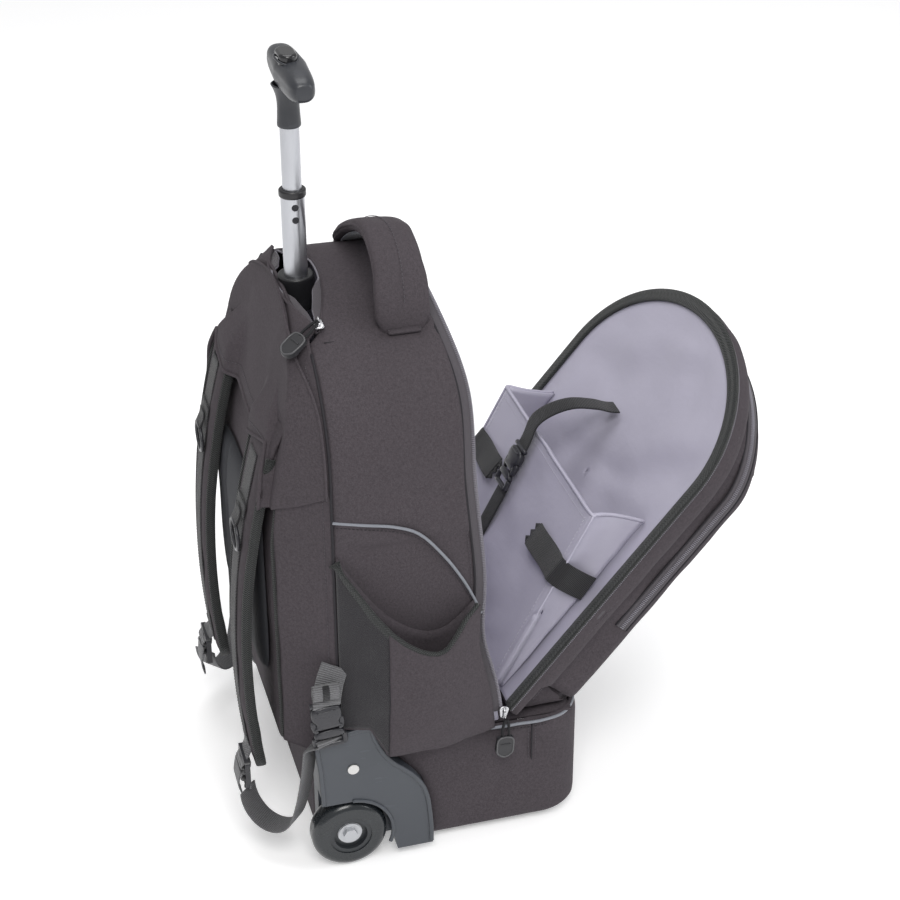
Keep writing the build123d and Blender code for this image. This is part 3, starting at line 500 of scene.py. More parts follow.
CHARCOAL = (0.060, 0.051, 0.058)
LOOKS = {
    "shell_fabric": woven("shell_fabric", CHARCOAL),
    "strap_fabric": woven("strap_fabric", shade(CHARCOAL, 0.92), period=1.2),
    "lining": satin("lining", (0.40, 0.385, 0.47)),
    "back_pad_foam": woven("back_pad_foam", (0.030, 0.031, 0.036), 1.6, 0.3, 0.75, 0.2, 0.4, 0.5),
    "stiffener_board": satin("stiffener_board", (0.30, 0.29, 0.34), 0.6),
    "zip_tape": ribbed("zip_tape", (0.066, 0.059, 0.068), 0.9, False, 0.25, 0.7, 0.4),
    "zip_metal": metal("zip_metal", (0.55, 0.55, 0.57), 0.26, (8, 8, 8), 0.15),
    "moulded_plastic": moulded("moulded_plastic", (0.050, 0.056, 0.067), 0.42),
    "rivet_metal": metal("rivet_metal", (0.62, 0.61, 0.60), 0.40, (10, 10, 10), 0.2),
    "steel": metal("steel", (0.50, 0.51, 0.53), 0.34, (6, 20, 20), 0.1),
    "tube_aluminium": metal("tube_aluminium", (0.52, 0.53, 0.56), 0.34, (40, 40, 1), 0.08),
    "black_plastic": moulded("black_plastic", (0.014, 0.014, 0.016), 0.35),
    "dark_screw": metal("dark_screw", (0.05, 0.05, 0.055), 0.4, (10, 10, 10), 0.1),
    "grip_plastic": moulded("grip_plastic", (0.028, 0.030, 0.036), 0.36, 420, 0.2),
    "button_plastic": moulded("button_plastic", (0.010, 0.010, 0.012), 0.22, 300, 0.1, 0.3),
    "tyre": moulded("tyre", (0.014, 0.017, 0.020), 0.26, 500, 0.15, 0.2),
    "hub_plastic": moulded("hub_plastic", (0.022, 0.025, 0.029), 0.40),
    "webbing": ribbed("webbing", (0.135, 0.135, 0.142), 1.8, False, 0.4, 0.55, 0.9),
    "black_webbing": ribbed("black_webbing", (0.014, 0.014, 0.016), 1.5, False, 0.5, 0.6, 0.8),
    "buckle_plastic": moulded("buckle_plastic", (0.026, 0.026, 0.031), 0.30, 500, 0.15),
    "pull_cord": woven("pull_cord", (0.014, 0.014, 0.016), 0.7, 0.5, 0.7, 0.2, 0.8, 0.6),
    "pull_tab": moulded("pull_tab", (0.020, 0.020, 0.023), 0.45),
    "binding": ribbed("binding", (0.016, 0.018, 0.018), 2.2, True, 0.7, 0.6, 0.9),
    "piping": ribbed("piping", (0.21, 0.22, 0.25), 1.0, False, 0.15, 0.5, 0.3),
    "net": net("net", (0.030, 0.028, 0.033)),
    "handle_net": net("handle_net", (0.20, 0.21, 0.25), 2.2),
    "coil": moulded("coil", (0.20, 0.19, 0.22), 0.35, 300, 0.1),
    "thread": woven("thread", (0.085, 0.078, 0.088), 0.5, 0.3, 0.7, 0.2, 0.3, 0.4),
    "dark_thread": woven("dark_thread", (0.022, 0.020, 0.024), 0.5, 0.3, 0.7, 0.2, 0.3, 0.4),
    "pale_thread": woven("pale_thread", (0.50, 0.49, 0.56), 0.5, 0.2, 0.6, 0.2, 0.3, 0.3),
    "tab_rim": moulded("tab_rim", (0.075, 0.075, 0.08), 0.35, 300, 0.1),
}
for part in frame["record"]["subparts"]:
    cad = frame["nodes"][part["node"]]
    cad.data.materials.clear()
    cad.data.materials.append(LOOKS[part["material_slot"]])


def dress(piece, look, *nodes):
    """Give a piece its material, and let it stand for CAD nodes."""
    piece.data.materials.append(LOOKS[look])
    if nodes:
        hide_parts(*nodes)
    return piece


def finish(piece, body, look, *nodes):
    """Dress a piece and let it ride on a body."""
    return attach(dress(piece, look, *nodes), body)


STITCH = (2.2, 0.5, 0.5)
STITCH_PITCH = 3.4
COIL_PITCH = 1.7


def ribbon(name, path, side, section, body, look, *nodes, scale=None):
    """Strap, tape or binding swept along a path."""
    return finish(sweep(name, path, side, section, False, scale), body, look, *nodes)


def cloth(name, point, us, vs, thickness, body, look, *nodes, closed=False):
    """Sheet of cloth with a thickness."""
    return finish(thicken(surface(name, point, us, vs, closed), thickness), body, look, *nodes)


def stitch(name, path, up, body, look, lift=0.0):
    """Row of stitches along a path."""
    return finish(chain(name, path, up, STITCH, STITCH_PITCH, False, lift), body, look)


def trim_tube(name, path, radius, body, look, sides=10):
    """Open piping, seam or hem along a path."""
    return finish(tube(name, path, radius, False, sides), body, look)


# --- Frame geometry shared by the pieces ---------------------------------------

X, Y, Z = Vector((1, 0, 0)), Vector((0, 1, 0)), Vector((0, 0, 1))
HALF, SPRING, TOP, BASE = 155.0, 395.0, 512.0, 118.3
SEAM_Y, BACK_DEEP = 100.0, 47.0
SLOT_Y, SLOT_WIDE, SLOT_HALF = 91.0, 18.0, 85.0
FLAP_HALF, FLAP_START, FLAP_SPRING, FLAP_TOP = 152.0, 8.0, 263.0, 375.0
POCKET_HALF, POCKET_START, POCKET_TOP = 140.0, 42.0, 357.0
STRAP_X = 87.0
HINGE = Vector((0, -47.0, 131.0))
FLAP = radians(40)
MOUTH = tan(radians(6))


def arch(share, half, base, spring, top):
    """(x, z) and outward (x, z) at share 0 to 1 along a tombstone from its left foot."""
    side = 0.28
    if share < side:
        return (-half, base + (spring - base) * share / side), (-1.0, 0.0)
    if share > 1 - side:
        return (half, base + (spring - base) * (1 - share) / side), (1.0, 0.0)
    turn = pi * (1 - (share - side) / (1 - 2 * side))
    x, z = half * cos(turn), (top - spring) * sin(turn)
    out = Vector((x / half**2, z / (top - spring) ** 2)).normalized()
    return (x, spring + z), (out.x, out.y)


def mouth_y(z):
    """Depth of the mouth's leaning edge at height z: slack low down, drawn forward at the shoulder."""
    slack = 8.0 * exp(-(((z - 222) / 42.0) ** 2)) - 8.0 * exp(-(((z - 458) / 46.0) ** 2))
    return HINGE.y + (z - HINGE.z) * MOUTH + slack


def back_y(z):
    """Depth of the back's outer face at height z, which leans forward at the top."""
    pairs = [
        (0, 147), (300, 147), (330, 145), (362, 140.5), (404, 131.5), (440, 123), (476, 114.5), (560, 88)
    ]
    for (low, a), (high, b) in zip(pairs, pairs[1:]):
        if z <= high:
            return a + (b - a) * (z - low) / (high - low)
    return 80.0


def lens(x, side):
    """Depth of the handle slot's front (-1) or back (1) edge at x."""
    return SLOT_Y + side * SLOT_WIDE * max(0.0, 1 - (x / SLOT_HALF) ** 2)


def roof(x):
    """Height of the bag's top at x."""
    return SPRING + (TOP - SPRING) * sqrt(max(0.0, 1 - (x / HALF) ** 2))


def flap(x, up, out):
    """Point of the open front panel: x across, up it from the hinge, out of its face."""
    return Vector((x, HINGE.y - up * sin(FLAP) - out * cos(FLAP), HINGE.z + up * cos(FLAP) - out * sin(FLAP)))


FLAP_OUT = Vector((0, -cos(FLAP), -sin(FLAP)))
FLAP_UP = Vector((0, -sin(FLAP), cos(FLAP)))


def rear(share, y, grow):
    """Point of the rear compartment's tapering outline at depth y."""
    t = (y - SEAM_Y) / BACK_DEEP
    (x, z), _ = arch(
        share, HALF - 33.0 * t + grow, BASE + 5.7 * t - grow, SPRING - 23.0 * t, TOP - 38.0 * t + grow
    )
    return Vector((x, y, z))


def side_out(y, z):
    """How far the side fabric stands proud of its seams."""
    return 3.2 * window(z, 318, 400, 45) * sin(pi * min(1.0, max(0.0, (y + 25) / 125.0))) ** 0.7


def side_point(y, z, sign, lift=0.0):
    """Point of the bag's side or shoulder at depth y and height z."""
    if z <= SPRING:
        return Vector((sign * (HALF + side_out(y, z) + lift), y, z))
    high = min(0.999, (z - SPRING) / (TOP - SPRING))
    return Vector((sign * (HALF * sqrt(1 - high * high) + side_out(y, z) + lift), y, z))


# --- Zip pulls: cords first -----------------------------------------------------

PULLS = {
    "main_left": ((-161.5, -48.0, 133.0), (0.0, 0.05, -1.0), (-1.0, 0.0, 0.0), "pull_main_left"),
    "main_right": ((161.5, -48.0, 133.0), (0.0, 0.05, -1.0), (1.0, 0.0, 0.0), "pull_main_right"),
    "slot": ((-86.0, 90.0, 505.5), (-0.30, 0.80, -0.52), (-0.35, 0.42, 0.84), "pull_slot"),
    "pocket": (tuple(flap(-75, 316, 67.5)), (0.0, 0.0, -1.0), (0.0, -1.0, 0.0), "pull_pocket"),
}


def make_pull(name, eye, along, out, body):
    """Doubled cord from the slider's eye round inside its moulded tab."""
    eye = Vector(eye)
    upward = -Vector(along).normalized()
    face = (Vector(out) - upward * Vector(out).dot(upward)).normalized()
    across = upward.cross(face)
    side = [(0.9, -1), (3.4, -11), (2.9, -21), (3.2, -31)]
    route = [eye - across * a + upward * b for a, b in side]
    route += [eye + across * a + upward * b for a, b in reversed(side)]
    data = bpy.data.curves.new(f"cord_{name}", "CURVE")
    data.dimensions = "3D"
    line = data.splines.new("NURBS")
    line.points.add(len(route) - 1)
    for point, place in zip(line.points, route):
        point.co = (*(place * MM), 1.0)
    line.order_u = 3
    line.use_endpoint_u = True
    line.resolution_u = 12
    data.bevel_depth = 1.25 * MM
    data.bevel_resolution = 4
    data.use_fill_caps = True
    cord = bpy.data.objects.new(f"cord_{name}", data)
    scene.collection.objects.link(cord)
    finish(cord, body, "pull_cord", f"pull_cord_{name}")

    def tab_point(a, b, lift):
        return eye + across * a + upward * b + face * lift

    edge = [(-7, -20), (-8.5, -33), (-6.6, -37.6), (0, -41), (6.6, -37.6), (8.5, -33), (7, -20)]
    rim = smooth([tab_point(a * 0.86, b * 0.94 - 1.6, 2.1) for a, b in edge], 6, True)
    finish(tube(f"tab_rim_{name}", rim, 0.75, True, 8), body, "tab_rim")
    ridge = [tab_point(a, -26.5, 2.2) for a in (-4.5, 0, 4.5)]
    trim_tube(f"tab_ridge_{name}", smooth(ridge, 3), 0.7, body, "pull_tab", 8)


for name, (eye, along, out, body) in PULLS.items():
    make_pull(name, eye, along, out, body)

# --- Main compartment -----------------------------------------------------------


def back_seam_y(x, z):
    """Depth of the main band's back edge, which bends forward round the handle's slot."""
    if z < 450:
        return 100.0
    inside = window(x, -85, 85, 8)
    return 100.0 + (lens(x, -1) - 100.0) * inside


def band_point(share, t):
    (x, z), (nx, nz) = arch(share, HALF, BASE, SPRING, TOP)
    front = mouth_y(z) + 9.0
    back = back_seam_y(x, z) - 0.4
    y = front + (back - front) * t
    puff = 3.2 * window(z, 318, 560, 45) * sin(pi * min(1.0, max(0.0, (y + 25) / 125.0))) ** 0.7
    puff -= 1.2 * exp(-(((z - 488) / 1.8) ** 2))
    puff += 2.4 * ripple((x, y, z), 55, 3) * (0.35 + window(z, 318, 560, 45)) * sin(pi * t) ** 0.5
    puff -= 0.9 * (1 - blend_step(0, 0.04, t) * (1 - blend_step(0.96, 1.0, t)))
    if z < 330:
        puff = min(puff, -0.4)
    return (x + nx * puff, y, z + nz * puff)


shares = spread(0, 0.26, 60) + spread(0.265, 0.735, 110) + spread(0.74, 1, 60)
cloth("main_band", band_point, shares, spread(0, 1, 40), 3.2, "bag", "shell_fabric", "main_gusset")


def lining_point(share, t):
    (x, z), (nx, nz) = arch(share, HALF - 5.2, 124.4, SPRING, TOP - 5.2)
    y = mouth_y(z) + 3.0 + (64.5 - mouth_y(z) - 3.0) * t
    soft = 1.8 * ripple((x, y, z), 40, 9) - 0.6
    return (x + nx * soft, y, z + nz * soft)


cloth("main_lining", lining_point, spread(0, 1, 90), spread(0, 1, 16), 0.8, "bag", "lining")


def wall_point(share, t):
    (x, z), _ = arch(share, HALF - 5.6, 124.8, SPRING, TOP - 5.6)
    shrink = 1 - t * 0.995
    x, z = x * shrink, 300 + (z - 300) * shrink
    return (x, 65.0 - 3.0 * min(1.0, 3 * t) + 1.2 * ripple((x, 0, z), 50, 5), z)


wall_shares = spread(0, 1, 80)
cloth(
    "divider_lining", wall_point, wall_shares, spread(0, 1, 20), 1.0, "bag", "lining", "frame_sheet",
    closed=True
)
cloth(
    "floor_lining", lambda u, v: (u, v, 124.2 + 0.8 * ripple((u, v, 0), 45, 2)), spread(-149, 149, 40),
    spread(-44, 66, 18), 1.0, "bag", "lining", "base_board"
)

# Zip round the mouth: a tape that carries on from the side, its coil at the edge


def rim_path(grow, ahead, count=220):
    """Path along the mouth's edge, grown outward and moved back from the edge."""
    path = []
    for share in spread(0.02, 0.98, count):
        (x, z), _ = arch(share, HALF + grow, BASE, SPRING, TOP + grow)
        path.append(Vector((x, mouth_y(z) + ahead, z)))
    return path


def rim_up(place):
    """Outward direction of the mouth's outline at a place."""
    if place.z < SPRING:
        return Vector((1 if place.x > 0 else -1, 0, 0))
    return Vector((place.x / HALF**2, 0, (place.z - SPRING) / (TOP - SPRING) ** 2)).normalized()


tape_path = rim_path(-0.6, 4.6)
tape = sweep("mouth_zip_tape", tape_path, Y, oval(9.5, 1.0, 6, 12))
finish(tape, "bag", "zip_tape", "zip_tape_body")
finish(chain("mouth_zip_coil", rim_path(-0.2, 0.9), rim_up, (0.9, 3.2, 1.8), COIL_PITCH), "bag", "coil")
trim_tube("mouth_seam", rim_path(-0.2, 9.6), 1.1, "bag", "dark_thread")
stitch("mouth_stitches", rim_path(0.1, 12.6, 260), rim_up, "bag", "thread", 0.1)

# Seams and piping on the sides
for side, sign in SIDES.items():
    trim = [(100, 357), (75, 352), (48, 346), (27, 335), (6, 309), (-8, 286), (-17, 268), (-26, 246)]
    line = smooth([side_point(y, z, sign, 0.5) for y, z in trim], 10)
    trim_tube(f"side_piping_{side}", line, 1.3, "bag", "piping")
    lower = [Vector((p.x + sign * 0.1, p.y + 1.2, p.z - 4.0)) for p in line]
    stitch(f"piping_stitches_{side}", lower, Vector((sign, 0, 0)), "bag", "dark_thread")
    seam = [side_point(y, 488, sign, -0.4) for y in spread(mouth_y(488) + 9, 88, 30)]
    trim_tube(f"shoulder_seam_{side}", seam, 0.7, "bag", "dark_thread", 8)
    above = [side_point(p.y, 490.6, sign, 0.2) for p in seam]
    stitch(f"shoulder_stitches_{side}", above, Vector((sign, 0, 0)), "bag", "thread")

# --- Rear compartment -----------------------------------------------------------


def rear_start(share):
    """Depth where the rear shell begins, behind the slot near the middle of the top."""
    x = rear(share, 104.0, 0).x
    z = rear(share, 104.0, 0).z
    if z < 450:
        return 100.4
    return 100.4 + (lens(x, 1) - 100.4) * window(x, -80, 80, 8)


def rear_point(share, t):
    start = rear_start(share)
    if t <= 0.5:
        s = t / 0.5
        y = start + (143.5 - start) * s
        place = rear(share, y, 1.6 * sin(pi * s) * (1 if share > 0.28 and share < 0.72 else 0.6))
        place.y = y
    elif t <= 0.62:
        s = (t - 0.5) / 0.12
        place = rear(share, 147.0, -1.0 - 5.5 * s * s)
        place.y = 143.5 + 3.4 * sin(pi / 2 * s)
    else:
        s = (t - 0.62) / 0.38
        place = rear(share, 147.0, -6.5)
        shrink = 1 - 0.995 * s
        place.x *= shrink
        place.z = 290 + (place.z - 290) * shrink
        place.y = 146.9
    place.y = min(place.y, back_y(place.z) - 0.1)
    if place.z > 132:
        fold = 1.2 * ripple((place.x, place.y * 0.6, place.z), 42, 14) * min(1.0, 8 * t)
        outward = Vector((place.x, 0, place.z - 290)).normalized()
        place += outward * fold if t < 0.5 else Vector((0, min(0.0, fold - 0.8), 0))
    return place


rear_shares = spread(0, 0.28, 44) + spread(0.285, 0.715, 86) + spread(0.72, 1, 44)
cloth(
    "rear_shell_cloth", rear_point, rear_shares,
    spread(0, 0.5, 22) + spread(0.52, 0.62, 6) + spread(0.66, 1, 12), 2.6, "bag", "shell_fabric",
    "rear_shell", closed=True
)
for side, sign in SIDES.items():
    share_of = (lambda s: s) if sign < 0 else (lambda s: 1 - s)
    seam = [rear(share_of(s), 100.2, 0.1) for s in spread(0.004, 0.40, 90)]
    trim_tube(f"back_seam_{side}", seam, 1.2, "bag", "dark_thread")
    row = [rear(share_of(s), 106.5, 1.0) for s in spread(0.01, 0.395, 90)]
    stitch(f"back_stitches_{side}", row, Vector((sign, 0, 0.2)), "bag", "thread")
    edge = [rear(share_of(s), 144.5, -0.4) for s in spread(0.004, 0.34, 80)]
    for p in edge:
        p.y = min(p.y, back_y(p.z) - 1.0)
    trim_tube(f"back_piping_{side}", edge, 1.5, "bag", "binding")

# Padded yoke over the shoulder of the back, over the tops of the straps


def yoke_edge_z(x):
    """Height of the yoke's lower edge on the back."""
    return 391.0 + 0.0019 * x * x + 1.5 * sin(x / 17.0)


def yoke_point(share, t):
    (x0, _), _ = arch(share, 160, 140, 400, 520)
    start = max(
        112.5, lens(rear(share, 110, 0).x, 1) + 3
    ) if abs(x0) < 90 else 104.0 + 8.5 * blend_step(150, 95, abs(x0))
    if t < 0.45:
        s = t / 0.45
        y = start + (145.5 - start) * s
        place = rear(share, y, 3.6 + 1.8 * sin(pi * s))
        place.y = y
    elif t < 0.6:
        s = (t - 0.45) / 0.15
        place = rear(share, 147.0, 3.6 - 5.0 * s * s)
        place.y = 145.5 + 5.6 * sin(pi / 2 * s)
    else:
        s = (t - 0.6) / 0.4
        place = rear(share, 147.0, -1.4)
        low = min(yoke_edge_z(place.x), place.z - 1)
        place.z += (low - place.z) * s
        over = window(abs(place.x), 57, 117, 16) * blend_step(452, 415, place.z)
        place.y = back_y(place.z) + 4.1 + 11.0 * over
    if t < 0.6:
        place.y = min(place.y, back_y(place.z) + 4.1)
    fold = 2.2 * sin(
        (place.x * 0.55 + place.z * 1.1) / 11.0 + 2 * ripple(place, 60, 4)
    ) * window(abs(place.x), 60, 140, 20)
    fold += 2.0 * ripple(place, 44, 21)
    place.y += fold * 0.5 * blend_step(0.0, 0.5, t)
    place.z += fold * 0.35 * blend_step(0.0, 0.25, t) * (1 - blend_step(0.3, 0.9, t))
    return place


yoke_shares = spread(0.266, 0.734, 120)
yoke = surface(
    "yoke_cloth", yoke_point, yoke_shares, spread(0, 0.44, 16) + spread(0.46, 0.6, 8) + spread(0.62, 1, 18)
)
finish(soften(thicken(yoke, 3.0)), "bag", "shell_fabric", "yoke")
hem = [Vector(yoke_point(s, 1.0)) + Vector((0, -0.2, 0.4)) for s in yoke_shares]
trim_tube("yoke_hem", hem, 1.7, "bag", "shell_fabric")
hem_row = [Vector(yoke_point(s, 0.93)) + Vector((0, 0.2, 0)) for s in yoke_shares]
stitch("yoke_stitches", hem_row, Y, "bag", "thread", 0.3)
ridge = [Vector(yoke_point(s, 0.0)) for s in yoke_shares]
trim_tube("yoke_ridge", ridge, 1.2, "bag", "shell_fabric")


def pad_point(u, v):
    """Crowned back pad with two sewn channels."""
    a, b = u * 2 - 1, v * 2 - 1
    corner = (abs(a) ** 5 + abs(b) ** 5) ** 0.2
    scale = max(abs(a), abs(b)) / corner if corner > 1e-6 else 1.0
    x, z = 99.5 * a * scale, 252 + 86.0 * b * scale
    rim = max(0.0, 1 - max(abs(a), abs(b)) ** 6)
    high = 7.6 * rim**0.5
    for channel in (-36, 36):
        high -= 3.0 * exp(-(((x - channel) / 3.2) ** 2)) * rim
    return (x, back_y(z) + 0.4 + max(0.3, high) + 0.5 * ripple((x, 0, z), 30, 8) * rim, z)


pad = surface("back_pad_cushion", pad_point, spread(0, 1, 64), spread(0, 1, 60))
finish(thicken(pad, 0.8), "bag", "back_pad_foam", "back_pad")

# Zip tapes and coil round the handle's slot

for side in (-1, 1):
    tag = "front" if side < 0 else "back"
    line, lip = [], []
    for x in spread(-84.5, 84.5, 90):
        y = lens(x, side)
        z = roof(x) - (0.0 if side < 0 else 0.81 * (y - 91.0) * 0.55)
        gap = lens(x, 1) - lens(x, -1)
        wide = min(7.5, 0.40 * gap) * (1 - 0.86 * window(x, -17, 17, 20))
        line.append(Vector((x, y - side * (wide / 2 - 0.5), z - 0.3 - 0.12 * wide)))
        lip.append(Vector((x, y - side * (wide - 0.4), z - 0.2 - 0.24 * wide)))
    wides = [max(0.15, (b - a).length / 3.6) for a, b in zip(line, lip)]
    tape = sweep(
        f"slot_tape_{tag}", line, Vector((0, 1, -0.24 * side)).normalized(), oval(8, 1.0, 6, 12),
        scale=lambda t, w=wides: (w[round(t * (len(w) - 1))], 1.0),
    )
    finish(tape, "bag", "zip_tape")
    finish(chain(f"slot_coil_{tag}", lip, Z, (0.9, 2.6, 1.8), COIL_PITCH), "bag", "coil")
    trim_tube(
        f"slot_seam_{tag}", [Vector((p.x, lens(p.x, side) + side * 0.8, p.z + 0.7)) for p in line], 1.3,
        "bag", "shell_fabric"
    )

# --- Boot -----------------------------------------------------------------------


def housing_front(z):
    """Depth of the wheel housing's curved front edge at height z."""
    pairs = [(0, 20), (50, 21.5), (75.6, 27.6), (99, 46), (108, 54), (117, 62.5), (130, 68)]
    for (low, a), (high, b) in zip(pairs, pairs[1:]):
        if z <= high:
            return a + (b - a) * (z - low) / (high - low)
    return 68.0


def boot_plan(z):
    """Plan of the boot at height z, from the middle of its back round by the left."""
    drop = max(0.0, 17.0 - z)
    inset = 14.0 - sqrt(max(0.0, 14.0**2 - drop**2)) if drop < 14 else 14.0
    top = max(0.0, z - 112.0)
    inset += 0.10 * top * top
    half, front, back = 149.6 - inset, -124.8 + inset, 117.6 - inset
    edge = housing_front(z) - 1.0
    corner = 34.0 - inset * 0.4
    points = [(-x, back) for x in spread(0, 117.5, 12)]
    points += [(-117.5, y) for y in spread(back, edge, 10)[1:]]
    points += [(-x, edge) for x in spread(118.5, half - 1, 6)]
    points += [(-half, y) for y in spread(edge - 1, front + corner, 22)]
    for turn in spread(0, pi / 2, 14)[1:]:
        points.append((-half + corner * (1 - cos(turn)), front + corner * (1 - sin(turn))))
    points += [(x, front) for x in spread(-half + corner, 0, 22)[1:]]
    return points + [(-x, y) for x, y in reversed(points[:-1])]


boot_heights = [4.7, 5.6, 7.2, 9.4, 12, 15] + spread(19, 108, 26) + [111, 113, 115, 116.6, 117.8]
plans = {z: boot_plan(z) for z in boot_heights}


def boot_point(k, z):
    x, y = plans[z][k]
    side_wall = y < housing_front(z) - 2.5
    if side_wall:
        outward = Vector((x / 150.0, y / 125.0 if y < -60 else 0, 0)).normalized()
        mid = window(z, 22, 104, 16)
        puff = 1.8 * mid * (
            1 - exp(-((abs(x) - 152) ** 2 + (y + 30) ** 2) / 1800)
        ) + 2.6 * ripple((x, y, z), 38, 31) * mid
        puff -= 6.0 * exp(-((abs(x) - 146) ** 2) / 500 - ((y + 84) ** 2) / 420 - ((z - 86) ** 2) / 420)
        puff += 2.0 * exp(-((abs(x) - 146) ** 2) / 900 - ((y + 74) ** 2) / 300 - ((z - 64) ** 2) / 500)
        seam = exp(-(((y + 76) / 1.7) ** 2)) if abs(x) > 135 else 0.0
        puff -= 1.3 * seam
        x, y = x + outward.x * min(puff, 1.6), y + outward.y * min(puff, 1.6)
    return (x, y, z)


cloth(
    "boot_cloth", boot_point, range(len(plans[19.0])), boot_heights, 3.0, "bag", "shell_fabric", "boot",
    closed=True
)
cloth("boot_top", lambda u, v: (
        u * (1 - 0.02 * v), -115 + 227 * v, 117.4 + 0.9 * ripple((u, v * 220, 0), 40, 2)
    ), spread(-143, 143, 30), spread(0, 0.80, 20), 2.0, "bag", "shell_fabric")
for side, sign in SIDES.items():
    seam = [Vector((sign * 148.6, -76, z)) for z in spread(18, 113, 30)]
    trim_tube(f"boot_seam_{side}", seam, 0.8, "bag", "dark_thread", 8)
    for n, dy in enumerate((-3.2, 3.2)):
        row = [Vector((p.x + sign * 0.9, p.y + dy, p.z)) for p in seam]
        stitch(f"boot_stitches_{side}_{n}", row, Vector((sign, 0, 0)), "bag", "thread")
trim = [
    (-154.6, 42, 122.0), (-155.0, 4, 125.0), (-154.2, -28, 120.5), (-152.4, -50, 117.6),
    (-151.6, -62, 117.0), (-150.6, -84, 115.5), (-144.5, -106, 114.5), (-130, -119.8, 114.5),
    (-112, -124.6, 114.8), (-60, -125.6, 115.2)
]
around = trim + [(0, -125.8, 115.4)] + [(-x, y, z) for x, y, z in reversed(trim)]
trim_tube("boot_piping", smooth(around, 12), 1.4, "bag", "piping")
low_rows = [Vector((p.x * 0.998, p.y * 0.998, p.z - 5.0)) for p in smooth(around[3:-3], 12)]
finish(
    chain("boot_piping_stitches", low_rows, Vector((0, -1, 0.01)), (2.2, 0.6, 0.6), 3.4), "bag",
    "dark_thread"
)

# Moulded lips on the wheel housings

for side, sign in SIDES.items():
    edge = [
        (118, 73), (119.4, 108), (120.6, 142.5), (98, 146), (76.5, 148), (70.5, 134), (63.8, 118.5),
        (55, 106.5), (47, 99), (37, 88.6), (29, 76), (24.6, 62), (22.8, 48), (21.4, 28), (21.2, 11.5)
    ]
    line = smooth([(sign * 161.2, y, z) for y, z in edge], 6)
    ribbon(
        f"housing_lip_{side}", line, Vector((sign, 0, 0)), oval(3.0, 4.2, 2.6, 12), "bag", "moulded_plastic"
    )
    arch_line = [
        Vector((sign * 161.2, 95 - 38.6 * cos(turn), 34 + 38.6 * sin(turn)))
        for turn in spread(radians(-22), radians(86), 36)
    ]
    ribbon(
        f"arch_lip_{side}", arch_line, Vector((sign, 0, 0)), oval(3.0, 3.4, 2.6, 12), "bag",
        "moulded_plastic"
    )

# --- Front panel ----------------------------------------------------------------


def flap_arch(share, grow, base=FLAP_START):
    """(x, up) on the front panel's outline, and its outward direction."""
    return arch(share, FLAP_HALF + grow, base, FLAP_SPRING, FLAP_TOP + grow)


def dish_point(share, t):
    """Inside of the front panel: a shallow dish of slack lining."""
    (x, up), _ = flap_arch(share, -1.5)
    shrink = 1 - 0.996 * t
    x, up = x * shrink, 190 + (up - 190) * shrink
    out = 2.8 + 4.6 * blend_step(0, 0.5, t)
    around = (x, up, 0)
    out += 3.0 * ripple(around, 46, 2) * blend_step(0, 0.2, t)
    fold = sin((x * 0.6 + up) / 15.0 + 3 * ripple(around, 90, 6)) * window(up, 215, 330, 30)
    out += 1.9 * fold * blend_step(0.02, 0.25, t)
    return flap(x, up, max(1.2, out))


rim_shares = spread(0, 0.28, 40) + spread(0.285, 0.715, 80) + spread(0.72, 1, 40)
dish = surface("panel_lining", dish_point, rim_shares, spread(0, 0.2, 10) + spread(0.24, 1, 26), True)
finish(thicken(dish, 0.8), "panel", "lining", "front_panel")


def shell_point(share, t):
    """Outside of the front panel, from its zip edge in to the organiser pocket."""
    rings = [
        (0.0, 3.4), (0.6, 6.0), (0.8, 10.5), (0.2, 15.0), (-2.0, 19.0), (-6.5, 22.0), (-12.0, 23.5),
        (-15.0, 24.0)
    ]
    at = t * (len(rings) - 1)
    k = min(len(rings) - 2, int(at))
    grow, out = (a + (b - a) * (at - k) for a, b in zip(rings[k], rings[k + 1]))
    (x, up), (nx, nu) = flap_arch(share, grow)
    soft = 1.6 * ripple((x, up, out), 32, 17) * sin(pi * min(1, t * 1.2))
    if up < 44:
        out = min(out, 10.0)
    return flap(x + nx * soft, up + nu * soft, out)


cloth("panel_shell", shell_point, rim_shares, spread(0, 1, 21), 2.2, "panel", "shell_fabric", closed=True)


def organiser_point(share, t):
    """Bulging organiser pocket on the outside of the panel."""
    grow, out = 0.0, 20.0 + 30.0 * min(1.0, t / 0.4)
    if t > 0.4:
        turn = min(1.0, (t - 0.4) / 0.2) * pi / 2
        grow, out = -15.0 * (1 - cos(turn)), 50.0 + 11.6 * sin(turn)
    (x, up), (nx, nu) = arch(share, POCKET_HALF + grow, POCKET_START - grow, FLAP_SPRING, POCKET_TOP + grow)
    if t > 0.6:
        shrink = 1 - 0.996 * (t - 0.6) / 0.4
        x, up = x * shrink, 190 + (up - 190) * shrink
    around = (x, up, out)
    sag = 2.6 * sin(pi * min(1.0, t / 0.4)) if t < 0.4 else 0.0
    soft = 3.0 * ripple(around, 48, 23) - sag * 0.5
    high = blend_step(270, 352, up)
    out -= 9.0 * high * blend_step(0.1, 0.5, t)
    if t > 0.6:
        out += min(0.0, 2.4 * ripple(around, 60, 12) - 0.6)
        return flap(x, up, out)
    return flap(x + nx * min(0.0, soft - 0.4), up + nu * min(0.0, soft - 0.4), out)


cloth(
    "organiser_cloth", organiser_point, rim_shares,
    spread(0, 0.4, 12) + spread(0.42, 0.6, 10) + spread(0.64, 1, 16), 2.2, "panel", "shell_fabric",
    "organiser_pocket", closed=True
)


def flap_line(grow, out, low=0.0, count=200, base=FLAP_START, half=FLAP_HALF, top=FLAP_TOP):
    """Path round the front panel's outline."""
    path = []
    for share in spread(low, 1 - low, count):
        (x, up), _ = arch(share, half + grow, base, FLAP_SPRING, top + grow)
        path.append(flap(x, up, out))
    return path


